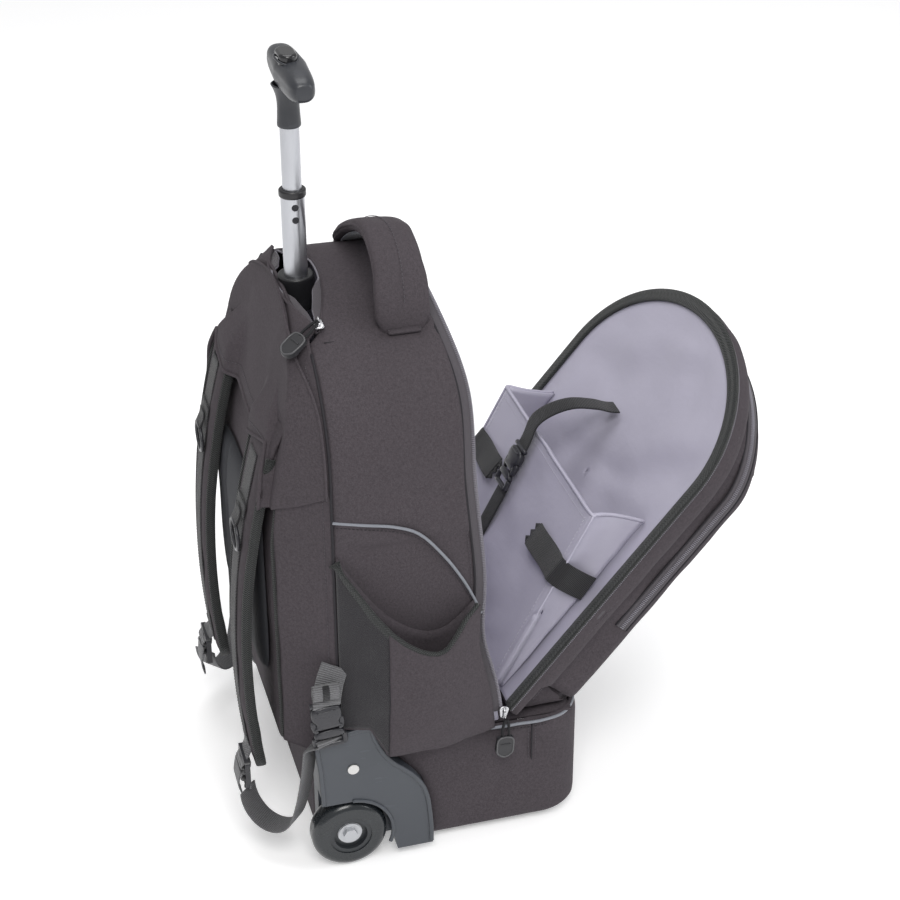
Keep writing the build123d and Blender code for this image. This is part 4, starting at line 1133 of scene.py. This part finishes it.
def flap_outward(place):
    """Outward direction of the panel's outline at a place."""
    up = (place - HINGE).dot(FLAP_UP)
    if up < FLAP_SPRING:
        return Vector((1 if place.x > 0 else -1, 0, 0))
    rise = FLAP_UP * ((up - FLAP_SPRING) / (FLAP_TOP - FLAP_SPRING) ** 2)
    return (X * (place.x / FLAP_HALF**2) + rise).normalized()


edge_line = flap_line(-2.2, 0.9)
outward = [flap_outward(p) for p in edge_line]
ribbon("panel_binding", edge_line, outward, oval(13.0, 3.6, 3.0, 14), "panel", "binding")
side_line = flap_line(1.7, 6.4)
ribbon("panel_zip_tape", side_line, FLAP_OUT, oval(8.5, 1.0, 6, 12), "panel", "zip_tape", "zip_tape_flap")
finish(
    chain("panel_zip_coil", flap_line(2.3, 2.6), flap_outward, (0.9, 3.0, 1.7), COIL_PITCH), "panel", "coil"
)
stitch("panel_stitches", flap_line(1.9, 13.5, 0.02), flap_outward, "panel", "thread")
zip_line = [
    flap(x, up, 45.0 - 6.5 * blend_step(270, 352, up)) for x,
    up in (arch(s, 141.9, POCKET_START, FLAP_SPRING, 358.9)[0] for s in spread(0.10, 0.90, 170))
]
ribbon("organiser_tape", zip_line, FLAP_OUT, oval(11, 1.4, 6, 12), "panel", "zip_tape")
finish(
    chain("organiser_coil", zip_line, flap_outward, (0.9, 4.4, 1.6), COIL_PITCH, lift=0.8), "panel", "coil"
)
for n, out in enumerate((38.0, 52.0)):
    seam = [p + FLAP_OUT * (out - 45.0) * 0.93 for p in zip_line]
    trim_tube(f"organiser_seam_{n}", seam, 0.9, "panel", "dark_thread", 8)
face_seam = flap_line(-14.5, 61.0, 0.05, 150, 60, POCKET_HALF, POCKET_TOP)
face_seam = [p - FLAP_OUT * 8.2 * blend_step(270, 352, (p - HINGE).dot(FLAP_UP)) for p in face_seam]
trim_tube("organiser_piping", face_seam, 1.5, "panel", "shell_fabric")

# Fold of cloth under the panel's foot


def bellows_point(u, t):
    """Wedge of slack cloth between the panel's foot and the boot."""
    ring = [
        flap(0, 41, 12.5), flap(0, 11, 11.5), Vector((0, -66, 118.6)), Vector((0, -92, 118.2)),
        Vector((0, -116.5, 118.6)), flap(0, 34, 55), flap(0, 41, 46)
    ]
    ring = smooth(ring, 6, True)
    place = ring[int(t) % len(ring)].copy()
    middle = Vector((0, -84, 134))
    edge = abs(u) / 137.0
    shrink = 1 - 0.30 * blend_step(0.90, 1.0, edge) ** 2
    place = middle + (place - middle) * shrink
    place.x = u
    crease = 2.2 * sin(place.z / 3.4 + 2.5 * ripple((u, place.y, 0), 60, 3)) * blend_step(-84, -112, place.y)
    place.y += crease
    return place


bellows = surface("panel_fold", lambda t, u: bellows_point(u, t), range(42), spread(-137, 137, 60), True)
for end, rows in (("left", -1), ("right", 1)):
    cap = [bellows_point(rows * 137.0, t) for t in range(42)]
    middle = sum(cap, Vector()) / len(cap)
    piece = fan(f"fold_end_{end}", cap, middle + Vector((rows * 1.5, 0, 0)))
    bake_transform(dress(piece, "shell_fabric"))
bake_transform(dress(bellows, "shell_fabric", "panel_bellows"))

# --- Laptop sleeve --------------------------------------------------------------


def sleeve_depth(up):
    """Depth of the sleeve's inner face at a distance up the panel."""
    return 7.0 + (up - 10.0) / 180.0 * 38.0


def sleeve_point(u, v):
    """Padded sleeve: side gusset, inner panel, side gusset; v runs up to the mouth."""
    sign = -1 if u < 0 else 1
    far = abs(u)
    if far > 1.0:
        share = min(1.0, far - 1.0)
        deep = 1 - share
        mouth = 190 + 20 * share
        up = 12 + (mouth - 12) * v
        depth = -1.4 + (sleeve_depth(min(up, 190)) + 1.4) * deep
        tuck = 5.5 * sin(pi * share) * (0.25 + 0.75 * v) + 1.8 * ripple((sign * 9, up, depth), 22, 7)
        x = sign * (124.4 - tuck * 0.9)
    else:
        up = 12 + 178 * v
        depth = sleeve_depth(up)
        bow = (1 - far**4) * (1 - abs(2 * v - 1) ** 4 * 0.6)
        depth -= 3.4 * bow * v
        depth += 2.4 * ripple((u * 120, up, 0), 42, 13) * (1 - far**6)
        depth += 1.0 * sin(
            up / 9.0 + u * 5 + 3 * ripple((u * 120, up, 5), 70, 2)
        ) * window(far, 0, 0.75, 0.2) * (1 - v) * 0.8
        corner = max(0.0, far - 0.94) / 0.06
        x = sign * 124.4 * min(1.0, far) if u else 0.0
        depth -= 2.2 * corner * corner
        up -= 1.5 * sin(pi * far) * v
    return flap(x, up, -max(-1.4, depth))


us = spread(-2, -1, 12)[:-1] + spread(-1, 1, 64) + spread(1, 2, 12)[1:]
sleeve = surface("laptop_sleeve_cloth", sleeve_point, us, spread(0, 1, 44))
finish(thicken(sleeve, 3.4, 1.0), "panel", "lining", "laptop_sleeve")
hem = [Vector(sleeve_point(u, 1.0)) for u in us]
trim_tube("sleeve_hem", hem, 1.5, "panel", "lining")
for side, sign in SIDES.items():
    corner = [
        Vector(sleeve_point(sign * 1.0, v)) - FLAP_OUT * 0.6 + Vector((sign * 0.4, 0, 0))
        for v in spread(0.02, 1, 40)
    ]
    trim_tube(f"sleeve_piping_{side}", corner, 1.1, "panel", "lining")
    row = [Vector(sleeve_point(sign * 0.935, v)) - FLAP_OUT * 0.2 for v in spread(0.03, 0.98, 40)]
    finish(chain(f"sleeve_stitches_{side}", row, -FLAP_OUT, (2.4, 0.5, 0.5), 3.8), "panel", "pale_thread")
row = [Vector(sleeve_point(u, 0.955)) - FLAP_OUT * 0.2 for u in spread(-0.97, 0.97, 60)]
finish(chain("sleeve_mouth_stitches", row, -FLAP_OUT, (2.4, 0.5, 0.5), 3.8), "panel", "pale_thread")

# Hook-and-loop bands round the sleeve's sides

for side, sign in SIDES.items():
    path = [
        flap(sign * 127.0, 132, 1.0), flap(sign * 127.4, 131, -12),
        flap(sign * 127.2, 130.5, -sleeve_depth(130) + 4)
    ]
    path += [
        flap(sign * x, 130.5, -sleeve_depth(130.5) - 2.6 - 1.2 * sin(x / 9))
        for x in (122, 112, 98, 84, 70, 60)
    ]
    band_path = smooth(path, 6)
    ribbon(
        f"sleeve_band_{side}", band_path, FLAP_UP, oval(25, 1.8, 5, 14), "panel", "black_webbing",
        *(["sleeve_straps"] if sign < 0 else [])
    )
    points, faces = [], []
    base = flap(sign * 60, 130.5, -sleeve_depth(130.5) - 2.6)
    for k in range(7):
        a = -11 + 22 * k / 6
        tip = 7.0 if k % 2 else 1.5
        points += [
            base + FLAP_UP * a + Vector((sign * 3, 0, 0)),
            base + FLAP_UP * a - Vector((sign * tip, 0, 0)) - FLAP_OUT * 0.4
        ]
        if k:
            faces.append((2 * k - 2, 2 * k - 1, 2 * k + 1, 2 * k))
    finish(thicken(mesh_piece(f"band_end_{side}", points, faces), 1.2, 0), "panel", "black_webbing")
path = [
    flap(30, 58, -sleeve_depth(58) - 1.0), flap(30, 90, -sleeve_depth(90) - 1.6),
    flap(30, 130, -sleeve_depth(130) - 2.0)
]
ribbon("hold_down_lower", smooth(path, 8), X, oval(20, 1.8, 5, 14), "panel", "black_webbing")
path = [
    flap(30, 158, -sleeve_depth(158) - 5), flap(30, 178, -sleeve_depth(178) - 5),
    flap(29, 198, -sleeve_depth(190) - 9), flap(26, 216, -50), flap(24, 232, -38), flap(22, 243, -20),
    flap(21, 248, -7), flap(21, 252, 0.5)
]
ribbon(
    "hold_down_upper", smooth(path, 10), Vector((1, 0, 0.05)), oval(20, 1.8, 5, 14), "panel",
    "black_webbing"
)


def side_buckle(name, centre, long, across, out, body, nodes=(), size=(46.0, 26.0, 7.5)):
    """Side-release buckle: a socket with open flanks, the plug's prongs and its webbing bar."""
    long, across, out = (Vector(v).normalized() for v in (long, across, out))
    length, wide, thick = size

    def at(a, b, c=0.0):
        return centre + long * a + across * b + out * c

    def slab(tag, outline, low, high):
        rounding = 0.9
        points = []
        for level, grow in ((low, -rounding), (low + rounding, 0), (high - rounding, 0), (high, -rounding)):
            for a, b in outline:
                points.append(
                    at(a + (grow if a > 0 else -grow) * 0.5, b + (grow if b > 0 else -grow) * 0.8, level)
                )
        return soften(stack(f"{name}_{tag}", points, len(outline)))

    half, top = wide / 2, thick / 2
    socket = [
        (length * 0.46, half * 0.8), (length * 0.36, half), (length * 0.16, half),
        (length * 0.12, half * 0.72), (length * 0.02, half * 0.70), (-length * 0.03, half * 0.98),
        (-length * 0.06, half * 0.98)
    ]
    socket += [(a, -b) for a, b in reversed(socket)]
    made = [slab("socket", socket, -top, top)]
    for tag, sign in (("a", 1), ("b", -1)):
        prong = [
            (length * 0.17, sign * half * 0.98), (length * 0.10, sign * half * 1.12),
            (-length * 0.10, sign * half * 1.04), (-length * 0.16, sign * half * 0.8),
            (-length * 0.16, sign * half * 0.62), (length * 0.02, sign * half * 0.74),
            (length * 0.14, sign * half * 0.80)
        ]
        made.append(slab(f"prong_{tag}", prong if sign > 0 else prong[::-1], -top * 0.62, top * 0.62))
    base = [
        (-length * 0.10, half * 0.9), (-length * 0.24, half * 1.02), (-length * 0.29, half * 1.02),
        (-length * 0.29, -half * 1.02), (-length * 0.24, -half * 1.02), (-length * 0.10, -half * 0.9)
    ]
    made.append(slab("plug", base, -top * 0.8, top * 0.8))
    for tag, a in (("bar", -length * 0.47), ("top_bar", length * 0.50)):
        line = [at(a, b, 0.0) for b in spread(-half * 0.94, half * 0.94, 6)]
        made.append(tube(f"{name}_{tag}", line, thick * 0.30))
    for tag, sign in (("a", 1), ("b", -1)):
        line = [
            at(-length * 0.27, sign * half * 0.94), at(-length * 0.38, sign * half * 0.97),
            at(-length * 0.47, sign * half * 0.94)
        ]
        made.append(tube(f"{name}_rail_{tag}", smooth(line, 4), thick * 0.32))
    ridge = [at(length * 0.36, b, top * 0.96) for b in spread(-half * 0.6, half * 0.6, 6)]
    made.append(tube(f"{name}_ridge", ridge, 0.8))
    for k, piece in enumerate(made):
        finish(piece, body, "buckle_plastic", *(nodes if k == 0 else ()))


hold = flap(30, 149, -sleeve_depth(149) - 6.0)
side_buckle(
    "hold_down_buckle_body", hold, FLAP_UP - FLAP_OUT * 0.2, (1, 0, 0), -FLAP_OUT, "panel",
    ("hold_down_buckle",), (42, 25, 7.5)
)

# --- Shoulder straps ------------------------------------------------------------


def strap_y(z):
    """Depth of a shoulder strap's inner face at height z."""
    marks = ((430.0, 126.0), (262.0, 161.0), (84.0, 156.0))
    total = 0.0
    for i, (zi, yi) in enumerate(marks):
        term = yi
        for j, (zj, _) in enumerate(marks):
            if i != j:
                term *= (z - zj) / (zi - zj)
        total += term
    return total


def strap_half(z):
    """Half width of a shoulder strap: a rounded lower end, a slight waist."""
    half = 30.6 - 3.0 * window(z, 150, 260, 60)
    low = 22.0
    if z < 84.5 + low:
        drop = 84.5 + low - z
        half = 30.6 - low + sqrt(max(0.0, low**2 - drop**2))
    return half


strap_heights = [84.6, 85.4, 87, 89.5, 93, 98, 104] + spread(110, 404, 62) + [410, 416, 422, 427, 429.6]
for side, sign in SIDES.items():
    body = f"strap_{side}"

    def strap_point(u, z, sign=sign):
        c, s = cos(2 * pi * u), sin(2 * pi * u)
        a = abs(c) ** 0.42 * (1 if c >= 0 else -1)
        b = abs(s) ** 0.62 * (1 if s >= 0 else -1)
        half = strap_half(z)
        thick = 11.4 - 6.0 * blend_step(405, 430, z)
        crown = 1 - 0.35 * blend_step(0.55, 1.0, abs(a))
        ends = blend_step(84, 96, z)
        crown *= 0.55 + 0.45 * ends
        y = strap_y(z) + 6.0 - 5.0 * blend_step(405, 430, z) + b * thick / 2 * crown
        x = sign * STRAP_X + a * half
        if b > 0.3:
            y -= 0.9 * exp(-(((abs(a) * half - 14.5) / 1.4) ** 2)) * window(z, 104, 395, 8)
        y += 1.3 * ripple((x, y, z), 34, 41 + sign) * ends
        return (x, y, z)

    pad = surface(f"shoulder_pad_{side}", strap_point, spread(0, 1, 48)[:-1], strap_heights, True)
    finish(pad, body, "strap_fabric", f"shoulder_strap_{side}")
    outline = []
    for z in spread(402, 86, 90):
        outline.append(Vector((sign * STRAP_X - strap_half(z), strap_y(z) + 6.0, z)))
    low_edge = [Vector((sign * STRAP_X + x, strap_y(85) + 6.0, 84.8)) for x in spread(-8.4, 8.4, 6)]
    other = [Vector((2 * sign * STRAP_X - p.x, p.y, p.z)) for p in reversed(outline)]
    edge = outline + low_edge + other
    ribbon(f"strap_binding_{side}", edge, Y, oval(9.0, 3.2, 2.6, 14), body, "binding")
    centre = [
        Vector((sign * STRAP_X, strap_y(z) + 12.1 - 4.5 * blend_step(405, 430, z), z))
        for z in spread(396, 100, 60)
    ]
    ribbon(f"strap_web_{side}", centre, X, oval(24, 1.6, 6, 14), body, "black_webbing")
    for n, dx in enumerate((-10.4, 10.4)):
        row = [Vector((p.x + dx, p.y + 0.7, p.z)) for p in centre]
        stitch(f"strap_web_stitches_{side}_{n}", row, Y, body, "thread")
    keeper = [Vector((sign * STRAP_X, strap_y(z) + 13.6, z)) for z in spread(352, 340, 3)]
    ribbon(f"strap_keeper_{side}", keeper, X, oval(30, 2.2, 4, 14), body, "black_webbing")
    ring = [
        Vector((sign * STRAP_X + 15 * cos(a), strap_y(318) + 15.4, 318 + 13 * sin(a)))
        for a in spread(0, 2 * pi, 28)[:-1]
    ]
    finish(tube(f"strap_ring_{side}", smooth(ring, 2, True), 1.7, True), body, "buckle_plastic")
    loop = [
        Vector((sign * STRAP_X, strap_y(330) + 13.6, 340)),
        Vector((sign * STRAP_X, strap_y(326) + 16.6, 332)),
        Vector((sign * STRAP_X, strap_y(326) + 18.0, 329.5)),
        Vector((sign * STRAP_X, strap_y(330) + 15.6, 333)),
        Vector((sign * STRAP_X, strap_y(336) + 14.2, 345))
    ]
    ribbon(f"strap_ring_loop_{side}", smooth(loop, 5), X, oval(18, 1.4, 5, 12), body, "black_webbing")
    # Webbing from the strap's end through the ladder lock
    x = sign * 98.0
    upper = [
        (x - sign * 8, strap_y(112) + 12.8, 112), (x - sign * 5, strap_y(100) + 13.6, 102), (x, 177.0, 94),
        (x, 179.6, 90.5), (x, 180.6, 87.5), (x, 176.0, 86.5), (x, 173.0, 88), (x, 172.2, 93)
    ]
    ribbon(f"strap_end_web_{side}", smooth(upper, 6), X, oval(23, 1.5, 6, 14), body, "webbing")
    lower = [
        (x + sign * 2, 175.0, 84.5), (x + sign * 2, 179.8, 81.5), (x + sign * 3, 180.2, 77.5),
        (x + sign * 4, 176.2, 75.5), (x + sign * 6, 174.8, 70), (x + sign * 10, 175.8, 64)
    ]
    ribbon(f"lock_web_{side}", smooth(lower, 6), X, oval(23, 1.5, 6, 14), body, "webbing")
    tail = [
        (x - sign * 2, 181.0, 84), (x - sign * 3, 182.4, 76), (x - sign * 5, 183.0, 66),
        (x - sign * 8, 180.6, 56)
    ]
    ribbon(f"lock_tail_{side}", smooth(tail, 6), Vector((1, 0, 0.1)), oval(23, 1.5, 6, 14), body, "webbing")

    # Lower webbing, from the lock round to the side buckle
    def route(a, z, sign=sign):
        return Vector((sign * (103 + 0.674 * a), 183 - 0.739 * a, z))

    run = smooth(
        [
            route(*p)
            for p in (
                (9, 66), (10.5, 57), (15, 47), (24, 38), (36, 34.5), (48, 38), (58, 49), (65, 70), (70, 92),
                (74, 116), (76.5, 136)
            )
        ],
        8
    )
    width = Vector((sign * 0.739, 0.674, 0))
    web = sweep(f"lower_web_{side}", run, width, oval(24, 1.6, 6, 14))
    dress(web, "webbing", f"lower_webbing_{side}")
    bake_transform(web)

    # Buckle, its anchor webbing and the rolled tail
    along = Vector((0, 0.10, 1.0))
    side_buckle(
        f"side_buckle_{side}", Vector((sign * 166.6, 113.0, 165.0)), along, (0, 1, -0.1), (sign, 0, 0),
        "bag", ("buckle_sockets", "buckle_plugs") if sign < 0 else (), (45, 27, 8.0),
    )
    anchor = [
        (sign * 166.4, 114.2, 184), (sign * 168.4, 113.6, 187.5), (sign * 166.2, 112.4, 194),
        (sign * 160.6, 108, 206), (sign * 156.6, 102.5, 217)
    ]
    ribbon(
        f"anchor_web_{side}", smooth(anchor, 7), Vector((0, 1, -0.25)), oval(24, 1.6, 6, 14), "bag",
        "webbing"
    )
    join = [
        (sign * 154.5, 126.6, 134), (sign * 158.5, 121.5, 139), (sign * 164.5, 115.0, 143.5),
        (sign * 168.2, 112.6, 146), (sign * 168.0, 112.6, 149), (sign * 164.2, 113.6, 147),
        (sign * 160.8, 115.6, 143)
    ]
    sides = [Vector((sign * (0.62 - 0.62 * t), 0.70 + 0.30 * t, 0)) for t in spread(0, 1, 36)]
    ribbon(f"buckle_web_{side}", smooth(join, 6), sides, oval(24, 1.6, 6, 14), "bag", "webbing")
    coil = []
    for turn in spread(0, 2 * pi * 2.4, 56):
        r = 2.6 + 1.15 * turn / pi
        coil.append(Vector((sign * (167.8 + r * 0.55 * cos(turn)), 114.0, 199.0 + r * sin(turn))))
    ribbon(f"rolled_tail_{side}", coil, Y, oval(23, 1.3, 6, 12), "bag", "webbing")
    ribbon(
        f"roll_keeper_{side}", [Vector((p.x + sign * 0.9, p.y, p.z)) for p in coil[-24:]], Y,
        oval(6, 1.2, 4, 10), "bag", "black_webbing"
    )

# --- Bottle pockets -------------------------------------------------------------

MOUTH_LINE = [
    (100.5, 322), (93, 306), (84, 291), (72, 271), (59, 254), (48, 243), (37, 235), (28, 230.5), (20, 228),
    (10, 229), (2, 232.5), (-10, 243), (-22, 256), (-37, 264)
]


def pocket_mouth(y):
    """Height of a bottle pocket's mouth at depth y."""
    for (a, high), (b, low) in zip(MOUTH_LINE, MOUTH_LINE[1:]):
        if y >= b:
            return high + (low - high) * (a - y) / (a - b)
    return 264.0


def pocket_out(y, t):
    """Bulge of a bottle pocket's cloth at depth y and share t of its height."""
    along = min(1.0, max(0.0, (98.0 - y) / 136.0))
    return (sin(pi * along) ** 0.8) * (9.0 + 16.5 * sin(pi / 2 * min(1.0, t * 1.5 + 0.1)) ** 0.8)


def pocket_foot(y):
    """Height of a bottle pocket's lower seam at depth y."""
    if y > 75:
        return 150.5
    if y > 60:
        return 121.0 + 29.5 * (y - 60) / 15.0
    return 121.0 + 2.4 * blend_step(60, -38, y)


for side, sign in SIDES.items():

    def pouch_point(y, t, sign=sign):
        foot = pocket_foot(y)
        z = foot + (pocket_mouth(y) - foot) * t
        if y < 20:
            front = max(-38.0, mouth_y(z) + 9.0)
            y = 20 - (20 - y) * (20 - front) / 58.0
        out = 156.4 + pocket_out(y, t)
        out += 2.2 * ripple((sign * 60, y, z), 26, 51) * sin(pi * min(1.0, t)) ** 0.4
        out += 1.0 * sin((y + z * 0.4) / 7.5) * (1 - t) * window(y, -20, 60, 20)
        return (sign * max(156.2, out), y, z)

    cloth(
        f"pocket_cloth_{side}", pouch_point, spread(-37.4, 60, 46), spread(0, 1, 34), 1.8, "bag",
        "shell_fabric", f"bottle_pocket_{side}"
    )
    mesh_part = surface(f"pocket_net_{side}", pouch_point, spread(59.5, 98.5, 20), spread(0, 1, 34))
    finish(thicken(mesh_part, 0.9), "bag", "net")
    seam_line = [Vector(pouch_point(60, t)) + Vector((sign * 0.6, 0, 0)) for t in spread(0, 1, 30)]
    trim_tube(f"pocket_seam_{side}", seam_line, 1.0, "bag", "dark_thread")
    lip = [Vector(pouch_point(y, 0.985)) for y in spread(100, -37.4, 70)]
    ribbon(f"pocket_binding_{side}", lip, Vector((0, 0.25, 1)), oval(10.5, 3.0, 2.8, 14), "bag", "binding")
    foot_line = [Vector(pouch_point(y, 0.0)) for y in spread(99, -38, 60)]
    trim_tube(f"pocket_foot_seam_{side}", foot_line, 1.3, "bag", "shell_fabric")
    front_line = [Vector(pouch_point(-37.2, t)) for t in spread(0, 1, 24)]
    trim_tube(f"pocket_front_seam_{side}", front_line, 1.2, "bag", "shell_fabric")
    row = [Vector(pouch_point(y, 0.91)) + Vector((sign * 0.5, 0, 0)) for y in spread(57, -34, 50)]
    stitch(f"pocket_stitches_{side}", row, Vector((sign, 0, 0)), "bag", "dark_thread")
    cloth(
        f"pocket_back_{side}", lambda y, t,
        sign=sign: (sign * 155.75, y, pocket_foot(y) + (pocket_mouth(y) + 8 - pocket_foot(y)) * t),
        spread(-20, 98, 20), spread(0, 1, 12), 0.3, "bag", "shell_fabric"
    )

# --- Carry handle ---------------------------------------------------------------

handle_line = [
    (-91.5, 489), (-91, 505), (-87.5, 521), (-79, 538), (-65, 550), (-46, 555), (-22, 552), (4, 543),
    (30, 531), (54, 516), (72, 499)
]
handle_path = smooth([Vector((x, 22.0, z)) for x, z in handle_line], 9)
handle_sides = []
for place in spread(0, 1, len(handle_path)):
    tilt = radians(30 - 36 * place) * window(place, 0.16, 0.90, 0.14)
    handle_sides.append(Vector((0, cos(tilt), sin(tilt))))


def handle_scale(t):
    """Width and thickness of the handle along its length."""
    end = min(t, 1 - t)
    wide = 0.70 + 0.30 * blend_step(0.0, 0.10, end) - 0.05 * blend_step(0.2, 0.5, end)
    return wide, 0.62 + 0.38 * blend_step(0.0, 0.16, end)


handle = sweep("carry_handle_pad", handle_path, handle_sides, oval(46, 12, 3.6, 28), scale=handle_scale)
for vertex in handle.data.vertices:
    place = vertex.co / MM
    vertex.co += vertex.normal * MM * (1.5 * ripple(place, 24, 61))
dress(handle, "shell_fabric", "carry_handle")
under = []
for a, b, side in zip(handle_path, handle_path[1:], handle_sides):
    tangent = (b - a).normalized()
    under.append(a - tangent.cross(side) * 6.3)
below = sweep("carry_handle_net", under[8:-8], handle_sides[8 : len(under) - 8], oval(37, 1.8, 4, 14))
dress(below, "handle_net")
edges = [below, handle]
for n, dy in enumerate((-1, 1)):
    line = []
    for k, p in enumerate(handle_path):
        wide, _ = handle_scale(k / (len(handle_path) - 1))
        line.append(p + handle_sides[k] * (dy * 22.4 * wide))
    edges.append(dress(tube(f"carry_piping_{n}", line, 1.5), "shell_fabric"))
top_line = []
for a, b, side in zip(handle_path, handle_path[1:], handle_sides):
    tangent = (b - a).normalized()
    top_line.append(a + tangent.cross(side) * 6.9)
edges.append(dress(chain("carry_stitches", top_line[14:-14], Z, (2.4, 0.6, 0.6), 3.6), "thread"))
for piece in edges:
    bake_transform(piece)
for side, sign in SIDES.items():
    patch = [Vector((sign * x, 22.0, roof(x) + 1.2 + 0.25 * (x - 80))) for x in spread(80, 99, 8)]
    ribbon(
        f"handle_foot_{side}", patch, Y, oval(36, 3.0, 4, 14), "bag", "shell_fabric",
        scale=lambda t: (1 - 0.25 * t, 1)
    )
    for n, dy in enumerate((-13, 13)):
        row = [p + Vector((0, dy, 1.6)) for p in patch]
        finish(chain(f"handle_foot_stitches_{side}_{n}", row, Z, (2.2, 0.6, 0.6), 3.2), "bag", "thread")

# --- Handle grip ----------------------------------------------------------------


def grip_ring(x):
    """Half width and height of the grip at x: an almond with blunt ends."""
    far = min(1.0, abs(x) / 51.0)
    shape = max(0.0, 1 - far**3.2) ** 0.5
    return 5.6 + 8.4 * shape - 1.2 * sin(pi * far), 5.2 + 8.0 * shape


def grip_point(u, x):
    wide, high = grip_ring(x)
    c, s = cos(2 * pi * u), sin(2 * pi * u)
    a = abs(c) ** 0.8 * (1 if c >= 0 else -1)
    b = abs(s) ** 0.8 * (1 if s >= 0 else -1)
    y, z = 87.0 + wide * a, 682.5 + high * b
    shrink = 1.0 - 0.025 * exp(-(((z - 684.5) / 0.8) ** 2))
    return (x, 87.0 + (y - 87.0) * shrink, z)


grip_xs = [-50.9, -50.4, -49.4, -47.8] + spread(-45, 45, 44) + [47.8, 49.4, 50.4, 50.9]
grip = surface("grip_shell", grip_point, spread(0, 1, 60)[:-1], grip_xs, True)
finish(grip, "top_stage", "grip_plastic", "grip_cover")
for end, x in (("left", -50.9), ("right", 50.9)):
    ring = [Vector(grip_point(u, x)) for u in spread(0, 1, 30)[:-1]]
    middle = sum(ring, Vector()) / len(ring) + Vector((0.6 if x > 0 else -0.6, 0, 0))
    finish(fan(f"grip_end_{end}", ring, middle), "top_stage", "grip_plastic")
neck = [(638.6, 9.2), (640.2, 9.8), (648, 9.4), (657, 9.1), (664, 9.8), (670, 11.6), (674, 13.5)]
profile = smooth([Vector((r, 0, z)) for z, r in neck], 5)
cloth(
    "grip_neck", lambda u,
    k: (profile[k].x * cos(2 * pi * u), 90 + profile[k].x * sin(2 * pi * u), profile[k].z),
    spread(0, 1, 40)[:-1], range(len(profile)), 1.5, "top_stage", "grip_plastic", "grip_base", closed=True
)
ring = [
    Vector((15.6 * cos(a), 90 + 9.4 * sin(a), 696.2 - 0.010 * (15.6 * cos(a)) ** 2))
    for a in spread(0, 2 * pi, 40)[:-1]
]
finish(tube("button_bezel", ring, 1.0, True), "top_stage", "grip_plastic")

# --- Zip sliders ----------------------------------------------------------------


def slider(name, centre, along, out, body, nodes=()):
    """Plated slider: a shield-shaped body, its bridge and a small eye."""
    along = Vector(along).normalized()
    out = (Vector(out) - along * Vector(out).dot(along)).normalized()
    across = along.cross(out)
    outline = [(-6.0, 0), (-5.6, 2.8), (-3.2, 3.3), (0.0, 3.9), (3.6, 4.8), (5.6, 4.2), (6.2, 0)]
    outline += [(a, -b) for a, b in reversed(outline[1:-1])]
    points = []
    for level, grow in ((-1.2, 0.86), (-0.4, 1.0), (1.0, 1.0), (1.8, 0.84)):
        points += [centre + along * a * grow + across * b * grow + out * level for a, b in outline]
    finish(soften(stack(f"{name}_body", points, len(outline))), body, "zip_metal", *nodes)
    bridge = [
        centre + along * a + out * c for a,
        c in ((-5.0, 1.4), (-3.6, 3.6), (0, 4.6), (3.4, 3.6), (4.6, 1.4))
    ]
    ribbon(f"{name}_bridge", smooth(bridge, 5), across, oval(2.6, 1.3, 3, 10), body, "zip_metal")
    eye = [
        centre + out * (4.4 + 1.9 * sin(a)) + along * (1.9 * cos(a) - 1.0)
        for a in spread(0, 2 * pi, 18)[:-1]
    ]
    finish(tube(f"{name}_eye", eye, 0.65, True, 8), body, "zip_metal")


for side, sign in SIDES.items():
    slider(
        f"main_slider_{side}", Vector((sign * 157.2, -46.5, 137.5)), (0, -0.1, 1), (sign, 0, 0), "bag",
        ("bag_sliders",) if sign < 0 else ()
    )
slider("slot_slider", Vector((-83.5, 89.5, 500.2)), (-1, 0.15, -0.25), (-0.2, 0.1, 1), "bag")
slider("pocket_zip_slider", flap(-75, 320, 61.5), (0.86, -0.3, 0.4), FLAP_OUT, "panel", ("pocket_slider",))

# --- Studio ---------------------------------------------------------------------


def make_studio():
    """Plain pale floor, soft lights and a pale world."""
    floor = surface("floor", lambda u, v: (u, v, -0.6), spread(-30000, 30000, 2), spread(-30000, 30000, 2))
    look = Look("floor", 0.9, specular=0.1)
    where = look.where()
    floor.data.materials.append(
        look.paint(look.mix(look.noise(where, 3), (0.90, 0.90, 0.91), (0.93, 0.93, 0.935)))
    )
    look.shader.inputs["Emission Color"].default_value = (1, 1, 1, 1)
    look.shader.inputs["Emission Strength"].default_value = 0.30
    world = bpy.data.worlds.new("world")
    world.use_nodes = True
    world.node_tree.nodes["Background"].inputs["Color"].default_value = (1.0, 1.0, 1.0, 1)
    world.node_tree.nodes["Background"].inputs["Strength"].default_value = 0.48
    scene.world = world
    for name, place, size, power, colour in (
        ("key", (-1.9, 0.4, 2.6), 1.3, 46, (1.0, 0.99, 0.97)),
        ("front", (-1.2, -2.4, 1.8), 1.3, 22, (0.96, 0.98, 1.0)),
        ("top", (0.6, 0.0, 3.0), 1.8, 30, (1, 1, 1)),
    ):
        data = bpy.data.lights.new(name, "AREA")
        data.energy, data.size, data.color = power, size, colour
        light = bpy.data.objects.new(name, data)
        light.location = place
        aim = Vector((0, 0, 0.3)) - Vector(place)
        light.rotation_mode = "QUATERNION"
        light.rotation_quaternion = aim.to_track_quat("-Z", "Y")
        scene.collection.objects.link(light)


make_studio()
scene.view_settings.view_transform = "Standard"
